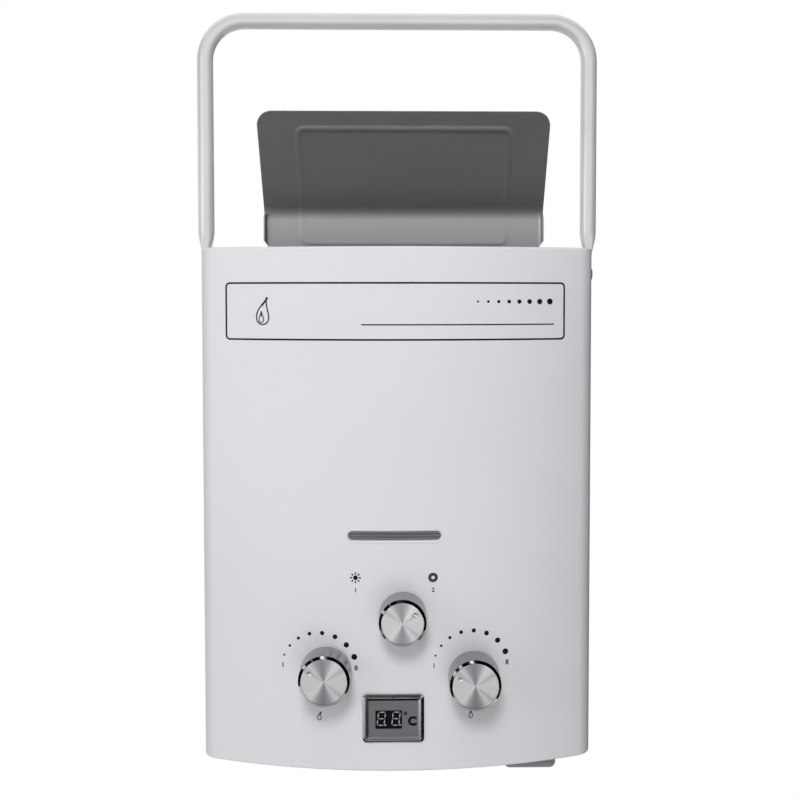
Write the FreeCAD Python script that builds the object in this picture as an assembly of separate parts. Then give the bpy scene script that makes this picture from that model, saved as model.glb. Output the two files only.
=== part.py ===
import FreeCAD
import Part
import os
import math

from FreeCAD import Vector

# A wall-hung, portable gas water heater: a bowed sheet-steel casing with a folding
# carrying handle, a rain hood over the flue, three knobs and a small display.
# Millimetres. X to the right, Y into the wall, Z up.
# The origin is the hole that hangs on the wall hook, in the wall's own plane (y = 0).

# ---- casing ----
casingWidth = 290.0
casingHeight = 380.0
casingDepth = 120.0        # wall plane to the crown of the bowed front
bowRadius = 406.0          # plan radius of the bowed front
cornerRadius = 14.0        # plan radius from the front into a side
coverSheet = 1.0
coverLip = 7.0             # inward lip along the cover's lower edge
traySheet = 1.2
trayDepth = 52.0           # side flanges of the rear tray
trayTopDepth = 18.0
slipFit = 0.3              # between the cover and what slides inside it
coverScrewLow = 50.0       # heights of the side screws, below the handle's sweep
coverScrewHigh = 130.0
coverScrewInset = 22.0     # side screws, from the tray's rear panel
panelSheet = 1.2
screwRadius = 2.0
screwHead = 3.6            # radius
screwHeadThick = 1.6
screwBite = 3.0            # shank beyond the last sheet
crossWidth = 1.0           # arms of a cross recess
airSlotWidth = 4.0
traySlotCount = 9
traySlotPitch = 22.0
traySlotLow = 56.0
traySlotHigh = 92.0
panelSlotCount = 19
panelSlotPitch = 12.0
panelSlotBack = 84.0       # from the wall plane
panelSlotFront = 104.0
throughCut = 5.0           # how far a cut runs past the faces it opens

# ---- hanging ----
hangerSheet = 2.0
hangerWidth = 84.0
hangerDrop = 44.0          # how far the bracket reaches down the tray
hangerHead = 11.0          # metal above the hook hole's centre
hookRise = 16.0            # hook hole above the casing top
hookHole = 5.0             # radius
lowerTabSpan = 120.0
lowerTabWidth = 22.0
lowerTabDrop = 16.0
lowerTabReach = 30.0
lowerHole = 3.0            # radius
lowerHoleEdge = 7.0
lowerStripBase = 12.0      # the cross strip's lower edge above the casing's

# ---- rain hood ----
hoodSheet = 1.0
hoodWidth = 226.0
hoodRear = 10.0            # rear face from the wall plane
hoodUpright = 31.8         # height at which it starts to lean
hoodRise = 106.0
hoodReach = 58.0           # the lip from the wall plane
hoodBend = 22.0            # bend radius of its rear face
hoodCorner = 12.0
hoodFoot = 13.0
hoodEar = 8.0              # small side ears of the upright part
hoodCutWide = 5.0          # slanted cut of its lower corners
hoodCutTall = 9.0
beadWidth = 7.0
beadHeight = 1.6
beadSide = 27.0            # bead's outer edge from the hood's side
beadTop = 11.0             # bead's outer edge below the hood's lip
beadFoot = 4.0             # bead's lower edge above the casing
beadCorner = 3.0           # on the bead's centreline
hoodScrewSpan = 94.92      # outer foot screws from the middle one
hoodScrewInset = 7.15      # foot screws from the hood's rear face

# ---- handle ----
tubeRadius = 6.35
tubeWall = 1.5
bladeThick = 3.0
bladeWidth = 17.0
bladeLength = 10.0         # pivot centre to the start of the round tube's taper
bladeTaper = 16.0
bladeShoulder = 2.4        # the blade narrows this much at each edge where the tube starts
bladeSlope = 6.0
taperFlatWide = 7.48       # half sizes of the pressed tube where it meets the blade
taperFlatThin = 1.26
taperSink = 2.0            # how far the pressed tube reaches into the blade
bushLength = 5.2
bushRadius = 7.0
pivotDrop = 18.0           # pivot below the casing top
pivotInset = 28.0          # pivot from the wall plane
handleRise = 199.0         # pivot to the grip's centreline
handleBend = 31.0
pivotPin = 2.5
pinPlay = 0.06
sidePlay = 0.1
headRadius = 5.0
headThick = 1.8
nutFlats = 8.0
nutThick = 4.0
pinTail = 1.0              # thread showing past the nut
socketFlats = 3.0
socketShare = 0.7          # of the head's thickness
drainHole = 1.5
threadPlay = 0.01

# ---- flue, exchanger and burner ----
stackX = 5.0
stackWidth = 150.0
stackDepth = 66.0
stackRear = 20.0
stackSheet = 0.8
chamberBase = 162.0        # heights of this group are above the casing's lower edge
finTop = 305.0
finHeight = 36.0
finPitch = 3.6
finSheet = 0.5
finCount = 39
neckWidth = 144.0
neckDepth = 50.0
neckStart = 338.0
neckPlay = 0.6
waterTube = 6.0
waterTubeWall = 1.0
tubeRowPitch = 18.0
tubeHeight = 285.0
burnerBase = 122.0
barCount = 8
barPitch = 17.0
barWidth = 9.0
barHeight = 32.0
barLift = 4.0
barEnd = 4.0
barSlotCount = 9
barSheet = 0.8
barWaist = 5.0
waistLift = 19.84          # from the bar's base
waistTall = 4.0
barRoof = 2.0
portWidth = 5.76
portLength = 1.6
portDepth = 3.0
mouthRadius = 2.9          # where a nozzle feeds the bar
railDepth = 8.0            # cross rails that carry the bars
railInset = 9.0
tubeOverhang = 2.0         # straight water tubes past the shell, before the bends
bracketSpan = 116.0        # channels that hold the stack off the tray
bracketTall = 18.0
bracketSheet = 1.2
bracketWeb = 2.0
bracketLow = 186.0
bracketHigh = 255.0
manifoldSize = 12.0
manifoldGap = 6.0
manifoldHeight = 132.0     # centreline
manifoldInset = 4.0        # from the stack's sides
manifoldWall = 1.5
manifoldTab = 2.0
nozzleRadius = 2.5
nozzleReach = 1.8          # tip inside the stack's front sheet
nozzleBore = 0.6
nozzleFlats = 7.0
nozzleCollar = 2.5
electrodeHeight = 176.0
electrodeSpread = 52.0
insulatorRadius = 3.0
insulatorOut = 12.0        # outside the stack, and the parts that follow likewise
insulatorIn = 8.0
electrodeFlange = 2.0
electrodeFlangeRim = 3.0
wireRadius = 1.0
wireOut = 16.0
wireIn = 26.0
sparkTip = 10.0
sensorTip = 3.0
switchHeight = 239.0       # overheat switch on the shell
switchOffset = 36.0
switchCup = 8.0            # radius and depth
switchEar = 13.0
switchEarTall = 10.0
switchEarSheet = 1.2
bladeSpread = 4.0
bladeTerminal = 6.0
terminalThick = 0.8
terminalLength = 7.0

# ---- knobs, shafts and display ----
knobGap = 0.6
knobLength = 21.0
knobChamfer = 1.4
knobTaper = 0.3
knobWall = 3.0
knobHollow = 11.55         # depth of the space behind the knob's face
hubWall = 2.4
hubLength = 12.6
capInset = 1.7
capThick = 1.2
capPocket = 1.2
gasKnobX = -51.5
gasKnobHeight = 73.8
waterKnobX = 55.3
waterKnobHeight = 70.1
mainKnobRadius = 18.6
seasonKnobX = 3.9
seasonKnobHeight = 114.9
seasonKnobRadius = 17.15
shaftRadius = 4.0
shaftPlay = 0.05
shaftBite = 15.0
shaftFlat = 2.4            # the flat's distance from the shaft's axis
flatStart = 2.0
pressFit = 0.02
shaftHole = 7.0            # radius of the cover's hole
dimpleRadius = 1.7
dimpleDepth = 0.5
dimpleInset = 4.4
gasDimpleAngle = -60.0     # clockwise from the top, as the knob is set at rest
waterDimpleAngle = -66.0
seasonDimpleAngle = 54.0
displayX = -2.9
displayHeight = 39.6
displayWidth = 44.5
displayTall = 35.0
bezelRim = 3.4
bezelProud = 2.4
bezelNeck = 9.0
bezelWall = 1.6
lensThick = 1.5
boardThick = 1.6
boardMargin = 1.0
bezelCorner = 3.0
bezelChamfer = 1.32
lensSeatDepth = 0.96       # the window's face below the rim's face
lensLedge = 0.64
lensPlay = 0.1
chipWidth = 10.0
chipTall = 10.0
chipThick = 3.0
socketWidth = 12.0
socketTall = 7.0
socketDeep = 6.0
slotX = -1.9
slotHeight = 172.0
slotWidth = 68.0
slotTall = 7.6
meshMargin = 5.0
meshSheet = 0.6
meshGap = 0.1
meshPitch = 3.0
meshHole = 0.95

# ---- valves and pipes ----
fittingRow = 46.0          # fittings and valves, from the wall plane
fittingRadius = 10.48      # half-inch pipe thread, over the crests
fittingBore = 6.0
fittingReach = 20.0        # below the casing
fittingFlats = 24.0
fittingNut = 5.0
fittingLock = 4.0          # lock nut under the panel
fittingChamfer = 1.0
sleeveWall = 1.5           # the stem steps in by this much above the nut
gasFittingX = -34.0
coldFittingX = 50.0
hotFittingX = -90.0
fittingHole = 0.5
drainPitch = 20.5          # drain plug beside the cold inlet
drainRadius = 5.0
drainLow = 14.0            # below the casing
drainGrip = 8.0
drainRim = 2.0
drainFlutes = 12
fluteRadius = 1.0
fluteBite = 0.4
drainTail = 7.0
drainStep = 1.5
valveDepth = 40.0
valveCorner = 3.0
noseLength = 10.0
gasBodyLeft = -74.0
gasBodyRight = -22.0
gasBodyBase = 46.0
gasBodyTop = 92.0
waterBodyLeft = 32.0
waterBodyRight = 78.0
waterBodyBase = 44.0
waterBodyTop = 92.0
rodHeight = 60.0
rodRadius = 2.5
rodPlay = 0.05
rodTravel = 4.0
rodDisc = 7.0
rodDiscThick = 2.5
rodRoom = 8.5              # radius of the chamber the disc works in
rodRoomSpare = 9.2         # behind the disc at the end of its travel
rodPlate = 2.0
rodCollar = 4.5
rodCollarLength = 3.0
diaphragmRadius = 22.0
diaphragmRim = 0.5
diaphragmFlange = 6.0
diaphragmThick = 1.5
diaphragmCoverLength = 12.0
chamberRadius = 16.0
valveWall = 3.0
plugRadius = 9.0
plugPlay = 0.1
plugPort = 3.5
plugPortInset = 6.0
waterNose = 9.0
noseBore = 3.0             # depth of the shaft's bore in the water valve
branchRadius = 4.0
needleRadius = 3.0
needlePoint = 0.8
needleCone = 4.0
needleRoom = 8.0
needleLength = 12.0
needleTravel = 1.2
solenoidRadius = 11.0
solenoidHeight = 24.0
solenoidInset = 2.0
solenoidFlange = 2.5
solenoidRim = 1.5
solenoidPost = 3.0
postRadius = 3.5
snapInset = 26.0           # microswitch's plunger side from the gas valve
snapLength = 20.0
snapTall = 10.0
snapDeep = 7.0
snapLift = 6.0             # above the push rod
snapGap = 2.0
angleSheet = 2.0
angleFoot = 16.0
angleReach = 8.0
riserInset = 2.0           # from the gas inlet
riserDrop = 9.0            # below the gas valve's top
riserRadius = 5.0
flangeThick = 2.5
flangeRim = 3.0
pipeRadius = 5.0
pipeWall = 0.8
pipeBend = 11.0
pipeSeat = 0.2             # a nut's bore bites this far into the pipe's wall
pipeClear = 7.5            # the rising pipe from the water tubes' bends
coldPipeInset = 12.0       # in front of the row of fittings
coldPipeDrop = 10.0        # below the water valve's top
coldPipeSlope = 34.0
pipeNutFlats = 14.0
pipeNut = 5.0
hotNutFlats = 20.0
hotNut = 8.0
hotBendHigh = 100.0
hotBendLow = 70.0
hotSeat = 6.0              # the pipe's end above the fitting's nut
seasonBodyWidth = 22.0
seasonPlugRadius = 6.0
seasonPort = 2.0
seasonFace = 3.0           # front wall of the season valve

# ---- battery ----
cellRadius = 17.1
cellLength = 61.5
cellPlay = 0.4
cellCount = 2
batteryWall = 3.0
batteryGap = 6.6           # case from the water valve
batteryRear = 6.0          # case from the wall plane
caseCorner = 3.0
pocketCorner = 2.0
caseFlange = 2.0           # width and thickness of the flange on the bottom panel
batteryDrop = 33.0         # below the casing
lidThick = 6.0
lidCorner = 5.5
lidPlay = 0.3
lidWell = 2.0              # depth of the lid's pocket for its contact
fingerWidth = 14.0
fingerDeep = 1.2
fingerLow = 2.0
contactLift = 2.5
contactSheet = 0.6
contactEdge = 3.0
coneRadius = 8.0
coneTip = 4.5
coneWall = 1.2
topContactRadius = 12.0
cellNub = 4.0
cellButton = 4.75
cellButtonTall = 1.5
cellCorner = 1.0
earWidth = 6.0             # hinge ears of the case
earSpread = 13.0
earPlay = 0.4
earRise = 4.0
knuckleWidth = 19.2
hingePinSpan = 32.0
hingePin = 1.0
hingeBarrel = 2.3
hingePlay = 0.06
hingeGap = 0.3

# ---- igniter ----
igniterWidth = 32.0
igniterDepth = 24.0
igniterLow = 120.0
igniterTall = 76.0
igniterInset = 3.0         # from the tray's side
igniterCorner = 2.0
towerRadius = 4.0
towerLength = 11.0
towerStart = 10.0
towerPitch = 14.0
plugInset = 7.0
plugLength = 7.0
plugLow = 40.0
plugTall = 10.0

# ---- shared places ----
topZ = -hookRise
bottomZ = topZ - casingHeight
halfWidth = casingWidth / 2.0
trayInset = coverSheet + slipFit
panelInset = trayInset + traySheet
coverRear = -hangerSheet
trayFront = -(hangerSheet + traySheet)
pivotZ = topZ - pivotDrop
pivotY = -pivotInset
legX = halfWidth + bushLength + sidePlay + bladeThick / 2.0
stackLeft = stackX - stackWidth / 2.0
stackRight = stackX + stackWidth / 2.0
stackBackY = -stackRear
stackFrontY = -(stackRear + stackDepth)
stackY = (stackBackY + stackFrontY) / 2.0
rodY = -fittingRow
valveBackY = -(fittingRow - valveDepth / 2.0)
valveFrontY = -(fittingRow + valveDepth / 2.0)
manifoldBackY = stackFrontY - manifoldGap
manifoldFrontY = manifoldBackY - manifoldSize
knobBaseY = -(casingDepth + knobGap)
knobFaceY = knobBaseY - knobLength
panelZ = bottomZ + coverSheet
caseOuter = 2.0 * (cellRadius + cellPlay + batteryWall)
caseLeft = waterBodyRight + batteryGap
caseRight = caseLeft + caseOuter
caseX = (caseLeft + caseRight) / 2.0
caseBackY = -batteryRear
caseFrontY = caseBackY - caseOuter
caseY = (caseBackY + caseFrontY) / 2.0
lidTopZ = bottomZ - batteryDrop + lidThick
cellBaseZ = lidTopZ + contactLift + lidPlay
hingeY = caseBackY + hingeBarrel + hingeGap
hingeZ = lidTopZ - hingeBarrel * 0.2
coverScrewY = trayFront - coverScrewInset
coverScrewHeights = (coverScrewLow, coverScrewHigh)
hoodScrewY = -(hoodRear + hoodScrewInset)
hoodScrewOffsets = (-hoodScrewSpan, 0.0, hoodScrewSpan)
hoodLean = math.atan2(hoodReach - hoodRear, hoodRise - hoodUpright)
electrodePlaces = (stackX - electrodeSpread, stackX + electrodeSpread)
riserX = gasFittingX + riserInset
riserY = (manifoldBackY + manifoldFrontY) / 2.0
riserHeight = gasBodyTop - riserDrop
drainX = coldFittingX + drainPitch
coldPipeY = -(fittingRow + coldPipeInset)
coldPipeHeight = waterBodyTop - coldPipeDrop
switchX = gasBodyRight + snapInset
fittingSeat = coverSheet + panelSheet
hotPipeHeight = fittingSeat + fittingNut + hotSeat


def up(height):
    return bottomZ + height


def box(x0, x1, y0, y1, z0, z1):
    corner = Vector(min(x0, x1), min(y0, y1), min(z0, z1))
    return Part.makeBox(abs(x1 - x0), abs(y1 - y0), abs(z1 - z0), corner)


def rodX(x0, x1, y, z, radius):
    return Part.makeCylinder(radius, abs(x1 - x0), Vector(min(x0, x1), y, z), Vector(1, 0, 0))


def rodYAxis(x, y0, y1, z, radius):
    return Part.makeCylinder(radius, abs(y1 - y0), Vector(x, min(y0, y1), z), Vector(0, 1, 0))


def rodZ(x, y, z0, z1, radius):
    return Part.makeCylinder(radius, abs(z1 - z0), Vector(x, y, min(z0, z1)), Vector(0, 0, 1))


def joined(shapes):
    whole = shapes[0]
    if len(shapes) > 1:
        whole = shapes[0].multiFuse(shapes[1:])
    return whole.removeSplitter()


def hexPrism(centre, direction, flats, length):
    # a hexagonal nut blank along the given direction
    radius = flats / math.sqrt(3.0)
    points = []
    for step in range(7):
        angle = math.radians(60.0 * step)
        points.append(Vector(radius * math.cos(angle), radius * math.sin(angle), 0))
    blank = Part.Face(Part.makePolygon(points)).extrude(Vector(0, 0, length))
    turn = FreeCAD.Rotation(Vector(0, 0, 1), direction)
    blank.Placement = FreeCAD.Placement(centre, turn)
    return blank


def bowY(x, inset):
    # y of the bowed front's surface at x
    return bowRadius - casingDepth - math.sqrt((bowRadius - inset) ** 2 - x * x)


def casingFace(inset, rearY, z):
    # the casing's plan outline, moved inwards, closed straight across at rearY
    side = halfWidth - inset
    cornerX = halfWidth - cornerRadius
    centreY = bowRadius - casingDepth
    cornerY = centreY - math.sqrt((bowRadius - cornerRadius) ** 2 - cornerX ** 2)
    small = cornerRadius - inset
    reach = (bowRadius - inset) / (bowRadius - cornerRadius)
    touchX = cornerX * reach
    touchY = centreY + (cornerY - centreY) * reach
    half = math.atan2(centreY - touchY, touchX)
    middle = half / 2.0
    sideTurn = Vector(cornerX + small * math.cos(middle), cornerY - small * math.sin(middle), z)
    crown = Vector(0, centreY - (bowRadius - inset), z)
    points = [Vector(side, rearY, z), Vector(side, cornerY, z), Vector(touchX, touchY, z)]
    mirrored = [Vector(-p.x, p.y, z) for p in points]
    edges = []
    edges.append(Part.makeLine(points[0], points[1]))
    edges.append(Part.Arc(points[1], sideTurn, points[2]).toShape())
    edges.append(Part.Arc(points[2], crown, mirrored[2]).toShape())
    leftTurn = Vector(-sideTurn.x, sideTurn.y, z)
    edges.append(Part.Arc(mirrored[2], leftTurn, mirrored[1]).toShape())
    edges.append(Part.makeLine(mirrored[1], mirrored[0]))
    edges.append(Part.makeLine(mirrored[0], points[0]))
    return Part.Face(Part.Wire(edges))


def casingPrism(inset, rearY, z0, z1):
    return casingFace(inset, rearY, z0).extrude(Vector(0, 0, z1 - z0))


def bentPath(points, bend):
    # straight runs joined by tangent arcs of one bend radius
    edges = []
    start = points[0]
    for index in range(1, len(points) - 1):
        here = points[index]
        inward = (points[index - 1] - here).normalize()
        outward = (points[index + 1] - here).normalize()
        turn = math.pi - math.acos(max(-1.0, min(1.0, inward.dot(outward))))
        reach = bend * math.tan(turn / 2.0)
        first = here + inward * reach
        last = here + outward * reach
        bisector = (inward + outward).normalize()
        depth = bend / math.cos(turn / 2.0) - bend
        edges.append(Part.makeLine(start, first))
        edges.append(Part.Arc(first, here + bisector * depth, last).toShape())
        start = last
    edges.append(Part.makeLine(start, points[-1]))
    return Part.Wire(edges)


def roundBar(path, radius):
    start = path.Edges[0].Vertexes[0].Point
    ahead = path.Edges[0].tangentAt(path.Edges[0].FirstParameter)
    ring = Part.Wire(Part.makeCircle(radius, start, ahead))
    return path.makePipeShell([ring], True, False)


def pipe(points, radius, wall, bend):
    path = bentPath(points, bend)
    return roundBar(path, radius).cut(roundBar(path, radius - wall))


def panScrew(seat, direction, length):
    # shank from the head's seat along -direction, a domed head on the outside
    body = Part.makeCylinder(screwRadius, length, seat - direction * length, direction)
    top = Part.makeCylinder(screwHead, screwHeadThick, seat, direction)
    top = top.makeFillet(screwHeadThick * 0.55, [edgeFarthest(top, direction)])
    arm = screwHead * 0.5
    wide = crossWidth / 2.0
    deep = screwHeadThick * 0.5
    slotLong = box(-arm, arm, -wide, wide, -deep, screwHeadThick)
    slotWide = box(-wide, wide, -arm, arm, -deep, screwHeadThick)
    cross = slotLong.fuse(slotWide)
    turn = FreeCAD.Rotation(Vector(0, 0, 1), direction)
    cross.Placement = FreeCAD.Placement(seat + direction * screwHeadThick, turn)
    return joined([body, top]).cut(cross)


def edgeFarthest(shape, direction):
    rings = [edge for edge in shape.Edges if edge.Closed]
    return max(rings, key=lambda edge: edge.CenterOfMass.dot(direction))


# ---------------------------------------------------------------- casing
def coverHoles():
    cuts = []
    slotY0 = -(casingDepth + throughCut)
    slotY1 = -(casingDepth - cornerRadius)
    end = slotTall / 2.0
    left = slotX - slotWidth / 2.0 + end
    right = slotX + slotWidth / 2.0 - end
    cuts.append(box(left, right, slotY0, slotY1, up(slotHeight) - end, up(slotHeight) + end))
    cuts.append(rodYAxis(left, slotY0, slotY1, up(slotHeight), end))
    cuts.append(rodYAxis(right, slotY0, slotY1, up(slotHeight), end))
    for knobX, knobHeight in shaftPlaces():
        cuts.append(rodYAxis(knobX, slotY0, slotY1, up(knobHeight), shaftHole))
    neckHalfX = displayWidth / 2.0 - bezelRim + slipFit
    neckHalfZ = displayTall / 2.0 - bezelRim + slipFit
    cuts.append(box(displayX - neckHalfX, displayX + neckHalfX, slotY0, slotY1,
                    up(displayHeight) - neckHalfZ, up(displayHeight) + neckHalfZ))
    halfX = neckWidth / 2.0 + neckPlay
    halfY = neckDepth / 2.0 + neckPlay
    cuts.append(box(stackX - halfX, stackX + halfX, stackY - halfY, stackY + halfY,
                    topZ - throughCut, topZ + throughCut))
    return cuts


def shaftPlaces():
    return ((gasKnobX, gasKnobHeight), (waterKnobX, waterKnobHeight),
            (seasonKnobX, seasonKnobHeight))


def sideHoles(reach):
    cuts = []
    for side in (-1.0, 1.0):
        inner = side * (halfWidth - reach)
        outer = side * (halfWidth + throughCut)
        cuts.append(rodX(inner, outer, pivotY, pivotZ, pivotPin + slipFit))
        for height in coverScrewHeights:
            cuts.append(rodX(inner, outer, coverScrewY, up(height), screwRadius))
    return cuts


def hoodHoles():
    cuts = []
    for offset in hoodScrewOffsets:
        cuts.append(rodZ(stackX + offset, hoodScrewY, topZ - throughCut, topZ + throughCut,
                         screwRadius))
    return cuts


def frontCover():
    outer = casingPrism(0.0, coverRear, bottomZ, topZ)
    hollow = casingPrism(coverSheet, coverRear + 1.0, bottomZ - 1.0, topZ - coverSheet)
    cover = outer.cut(hollow)
    lipOuter = casingPrism(coverSheet * 0.5, coverRear, bottomZ, bottomZ + coverSheet)
    lipInner = casingPrism(coverSheet + coverLip, coverRear + 1.0, bottomZ - 1.0,
                           bottomZ + coverSheet + 1.0)
    lip = lipOuter.cut(lipInner)
    cover = joined([cover, lip])
    cover = cover.cut(joined(coverHoles()[:3]))
    for cut in coverHoles()[3:] + sideHoles(throughCut) + hoodHoles():
        cover = cover.cut(cut)
    return cover


def backTray():
    low = bottomZ + coverSheet + slipFit
    high = topZ - coverSheet - slipFit
    side = halfWidth - trayInset
    outer = box(-side, side, coverRear, coverRear - trayDepth, low, high)
    inner = box(-side + traySheet, side - traySheet, coverRear - traySheet,
                coverRear - trayDepth - 1.0, low - 1.0, high - traySheet)
    tray = outer.cut(inner)
    front = box(-side + traySheet, side - traySheet, coverRear - trayTopDepth,
                coverRear - trayDepth - 1.0, high - traySheet - 1.0, high + 1.0)
    tray = tray.cut(front)
    for cut in sideHoles(throughCut) + hoodHoles():
        tray = tray.cut(cut)
    # air slots low in the rear
    for x in rowPlaces(traySlotCount, traySlotPitch):
        slot = box(x - airSlotWidth / 2.0, x + airSlotWidth / 2.0, throughCut,
                   trayFront - throughCut, up(traySlotLow), up(traySlotHigh))
        tray = tray.cut(slot)
    return tray


def rowPlaces(count, pitch):
    first = -pitch * (count - 1) / 2.0
    return [first + pitch * index for index in range(count)]


def bottomPanel():
    plate = casingPrism(panelInset, trayFront, panelZ, panelZ + panelSheet)
    for x in (gasFittingX, coldFittingX, hotFittingX):
        plate = plate.cut(rodZ(x, rodY, panelZ - throughCut, panelZ + throughCut,
                               fittingRadius + fittingHole))
    hole = slipFit
    plate = plate.cut(box(caseLeft - hole, caseRight + hole, caseBackY + hole, caseFrontY - hole,
                          panelZ - throughCut, panelZ + throughCut))
    # air slots along the front
    for x in rowPlaces(panelSlotCount, panelSlotPitch):
        plate = plate.cut(box(x - airSlotWidth / 2.0, x + airSlotWidth / 2.0, -panelSlotFront,
                              -panelSlotBack, panelZ - throughCut, panelZ + throughCut))
    plate = plate.cut(rodZ(drainX, rodY, panelZ - throughCut, panelZ + throughCut,
                           drainRadius + fittingHole))
    return plate


def hangerBracket():
    half = hangerWidth / 2.0
    plate = box(-half, half, 0.0, -hangerSheet, topZ - hangerDrop, hangerHead)
    ends = []
    for edge in plate.Edges:
        centre = edge.CenterOfMass
        if abs(abs(centre.x) - half) < 0.01 and abs(edge.Length - hangerSheet) < 0.01:
            ends.append(edge)
    plate = plate.makeFillet(hangerHead * 0.7, ends)
    return plate.cut(rodYAxis(0.0, throughCut, -hangerSheet - throughCut, 0.0, hookHole))


def lowerBracket():
    # a cross strip behind the tray with two hanging tabs for the lower wall screws
    half = lowerTabSpan / 2.0 + lowerTabWidth / 2.0
    strip = box(-half, half, 0.0, -hangerSheet, up(lowerStripBase), up(lowerTabReach))
    pieces = [strip]
    for side in (-1.0, 1.0):
        x = side * lowerTabSpan / 2.0
        pieces.append(box(x - lowerTabWidth / 2.0, x + lowerTabWidth / 2.0, 0.0, -hangerSheet,
                          bottomZ - lowerTabDrop, up(lowerTabReach)))
    plate = joined(pieces)
    for side in (-1.0, 1.0):
        z = bottomZ - lowerTabDrop + lowerHoleEdge
        plate = plate.cut(rodYAxis(side * lowerTabSpan / 2.0, throughCut,
                                   -hangerSheet - throughCut, z, lowerHole))
    return plate


# ---------------------------------------------------------------- rain hood
def hoodBand(near, far):
    # side profile between two offsets of the hood's front face, as a face in the YZ plane
    return Part.Face(Part.Wire(hoodEdges(near, far)))


def hoodEdges(near, far):
    x = stackX - hoodWidth / 2.0
    tangent = hoodBend * math.tan(hoodLean / 2.0)
    kinkZ = topZ + hoodUpright
    tipLength = (hoodRise - hoodUpright) / math.cos(hoodLean)
    centreY = -hoodRear - hoodBend
    centreZ = kinkZ - tangent
    points = []
    for offset in (near, far):
        radius = hoodBend - offset
        foot = Vector(x, -hoodRear - offset, topZ)
        start = Vector(x, -hoodRear - offset, centreZ)
        mid = Vector(x, centreY + radius * math.cos(hoodLean / 2.0),
                     centreZ + radius * math.sin(hoodLean / 2.0))
        end = Vector(x, centreY + radius * math.cos(hoodLean),
                     centreZ + radius * math.sin(hoodLean))
        along = Vector(0, -math.sin(hoodLean), math.cos(hoodLean))
        tip = end + along * (tipLength - tangent)
        points.append((foot, start, mid, end, tip))
    a = points[0]
    b = points[1]
    return [Part.makeLine(a[0], a[1]), Part.Arc(a[1], a[2], a[3]).toShape(),
            Part.makeLine(a[3], a[4]), Part.makeLine(a[4], b[4]),
            Part.makeLine(b[4], b[3]), Part.Arc(b[3], b[2], b[1]).toShape(),
            Part.makeLine(b[1], b[0]), Part.makeLine(b[0], a[0])]


def hoodRing(width):
    # an upright rectangular ring prism that marks the bead on the hood
    middle = beadWidth / 2.0
    left = stackX - hoodWidth / 2.0 + beadSide + middle
    right = stackX + hoodWidth / 2.0 - beadSide - middle
    low = topZ + beadFoot + middle
    high = topZ + hoodRise - beadTop * math.cos(hoodLean) - middle
    half = width / 2.0
    front = -hoodReach - throughCut
    outer = box(left - half, right + half, 0.0, front, low - half, high + half)
    inner = box(left + half, right - half, throughCut, front - throughCut, low + half, high - half)
    outer = outer.makeFillet(beadCorner + half, verticalTo(outer, Vector(0, 1, 0)))
    inner = inner.makeFillet(beadCorner - half * 0.5, verticalTo(inner, Vector(0, 1, 0)))
    return outer.cut(inner)


def verticalTo(shape, direction):
    chosen = []
    for edge in shape.Edges:
        line = edge.Vertexes[-1].Point - edge.Vertexes[0].Point
        if line.Length > 0.01 and abs(abs(line.normalize().dot(direction)) - 1.0) < 1e-6:
            chosen.append(edge)
    return chosen


def rainHood():
    across = Vector(hoodWidth, 0, 0)
    sheet = hoodBand(0.0, hoodSheet).extrude(across)
    tips = []
    for edge in sheet.Edges:
        if abs(edge.Length - hoodSheet) < 0.01 and edge.CenterOfMass.z > topZ + hoodUpright * 2.0:
            tips.append(edge)
    sheet = sheet.makeFillet(hoodCorner, tips)
    raised = hoodBand(hoodSheet * 0.5, hoodSheet + beadHeight).extrude(across)
    raised = raised.common(hoodRing(beadWidth))
    groove = hoodBand(-hoodSheet, beadHeight).extrude(across)
    groove = groove.common(hoodRing(beadWidth - 2.0 * hoodSheet))
    left = stackX - hoodWidth / 2.0
    right = stackX + hoodWidth / 2.0
    foot = box(left, right, -hoodRear, -hoodRear - hoodFoot, topZ, topZ + hoodSheet)
    pieces = [sheet, raised, foot]
    ears = hoodBand(0.0, hoodEar).extrude(across)
    for side, edgeX in ((1.0, left), (-1.0, right)):
        pieces.append(ears.common(box(edgeX, edgeX + side * hoodSheet, -hoodRear,
                                      -hoodRear - hoodFoot, topZ, topZ + hoodUpright)))
    hood = joined(pieces)
    hood = hood.cut(groove)
    for side, edgeX in ((1.0, left), (-1.0, right)):
        corner = Vector(edgeX, throughCut - hoodRear, topZ)
        slant = Part.makePolygon([corner, corner + Vector(side * hoodCutWide, 0, 0),
                                  corner + Vector(0, 0, hoodCutTall), corner])
        hood = hood.cut(Part.Face(slant).extrude(Vector(0, -hoodFoot - 2.0 * throughCut, 0)))
    for cut in hoodHoles():
        hood = hood.cut(cut)
    return hood


def hoodScrews():
    screws = []
    length = hoodSheet + coverSheet + slipFit + traySheet + screwBite
    for offset in hoodScrewOffsets:
        seat = Vector(stackX + offset, hoodScrewY, topZ + hoodSheet)
        screws.append(panScrew(seat, Vector(0, 0, 1), length))
    return Part.makeCompound(screws)


def coverScrews():
    screws = []
    for side in (-1.0, 1.0):
        for height in coverScrewHeights:
            seat = Vector(side * halfWidth, coverScrewY, up(height))
            screws.append(panScrew(seat, Vector(side, 0, 0), trayInset + traySheet + screwBite))
    return Part.makeCompound(screws)


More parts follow.
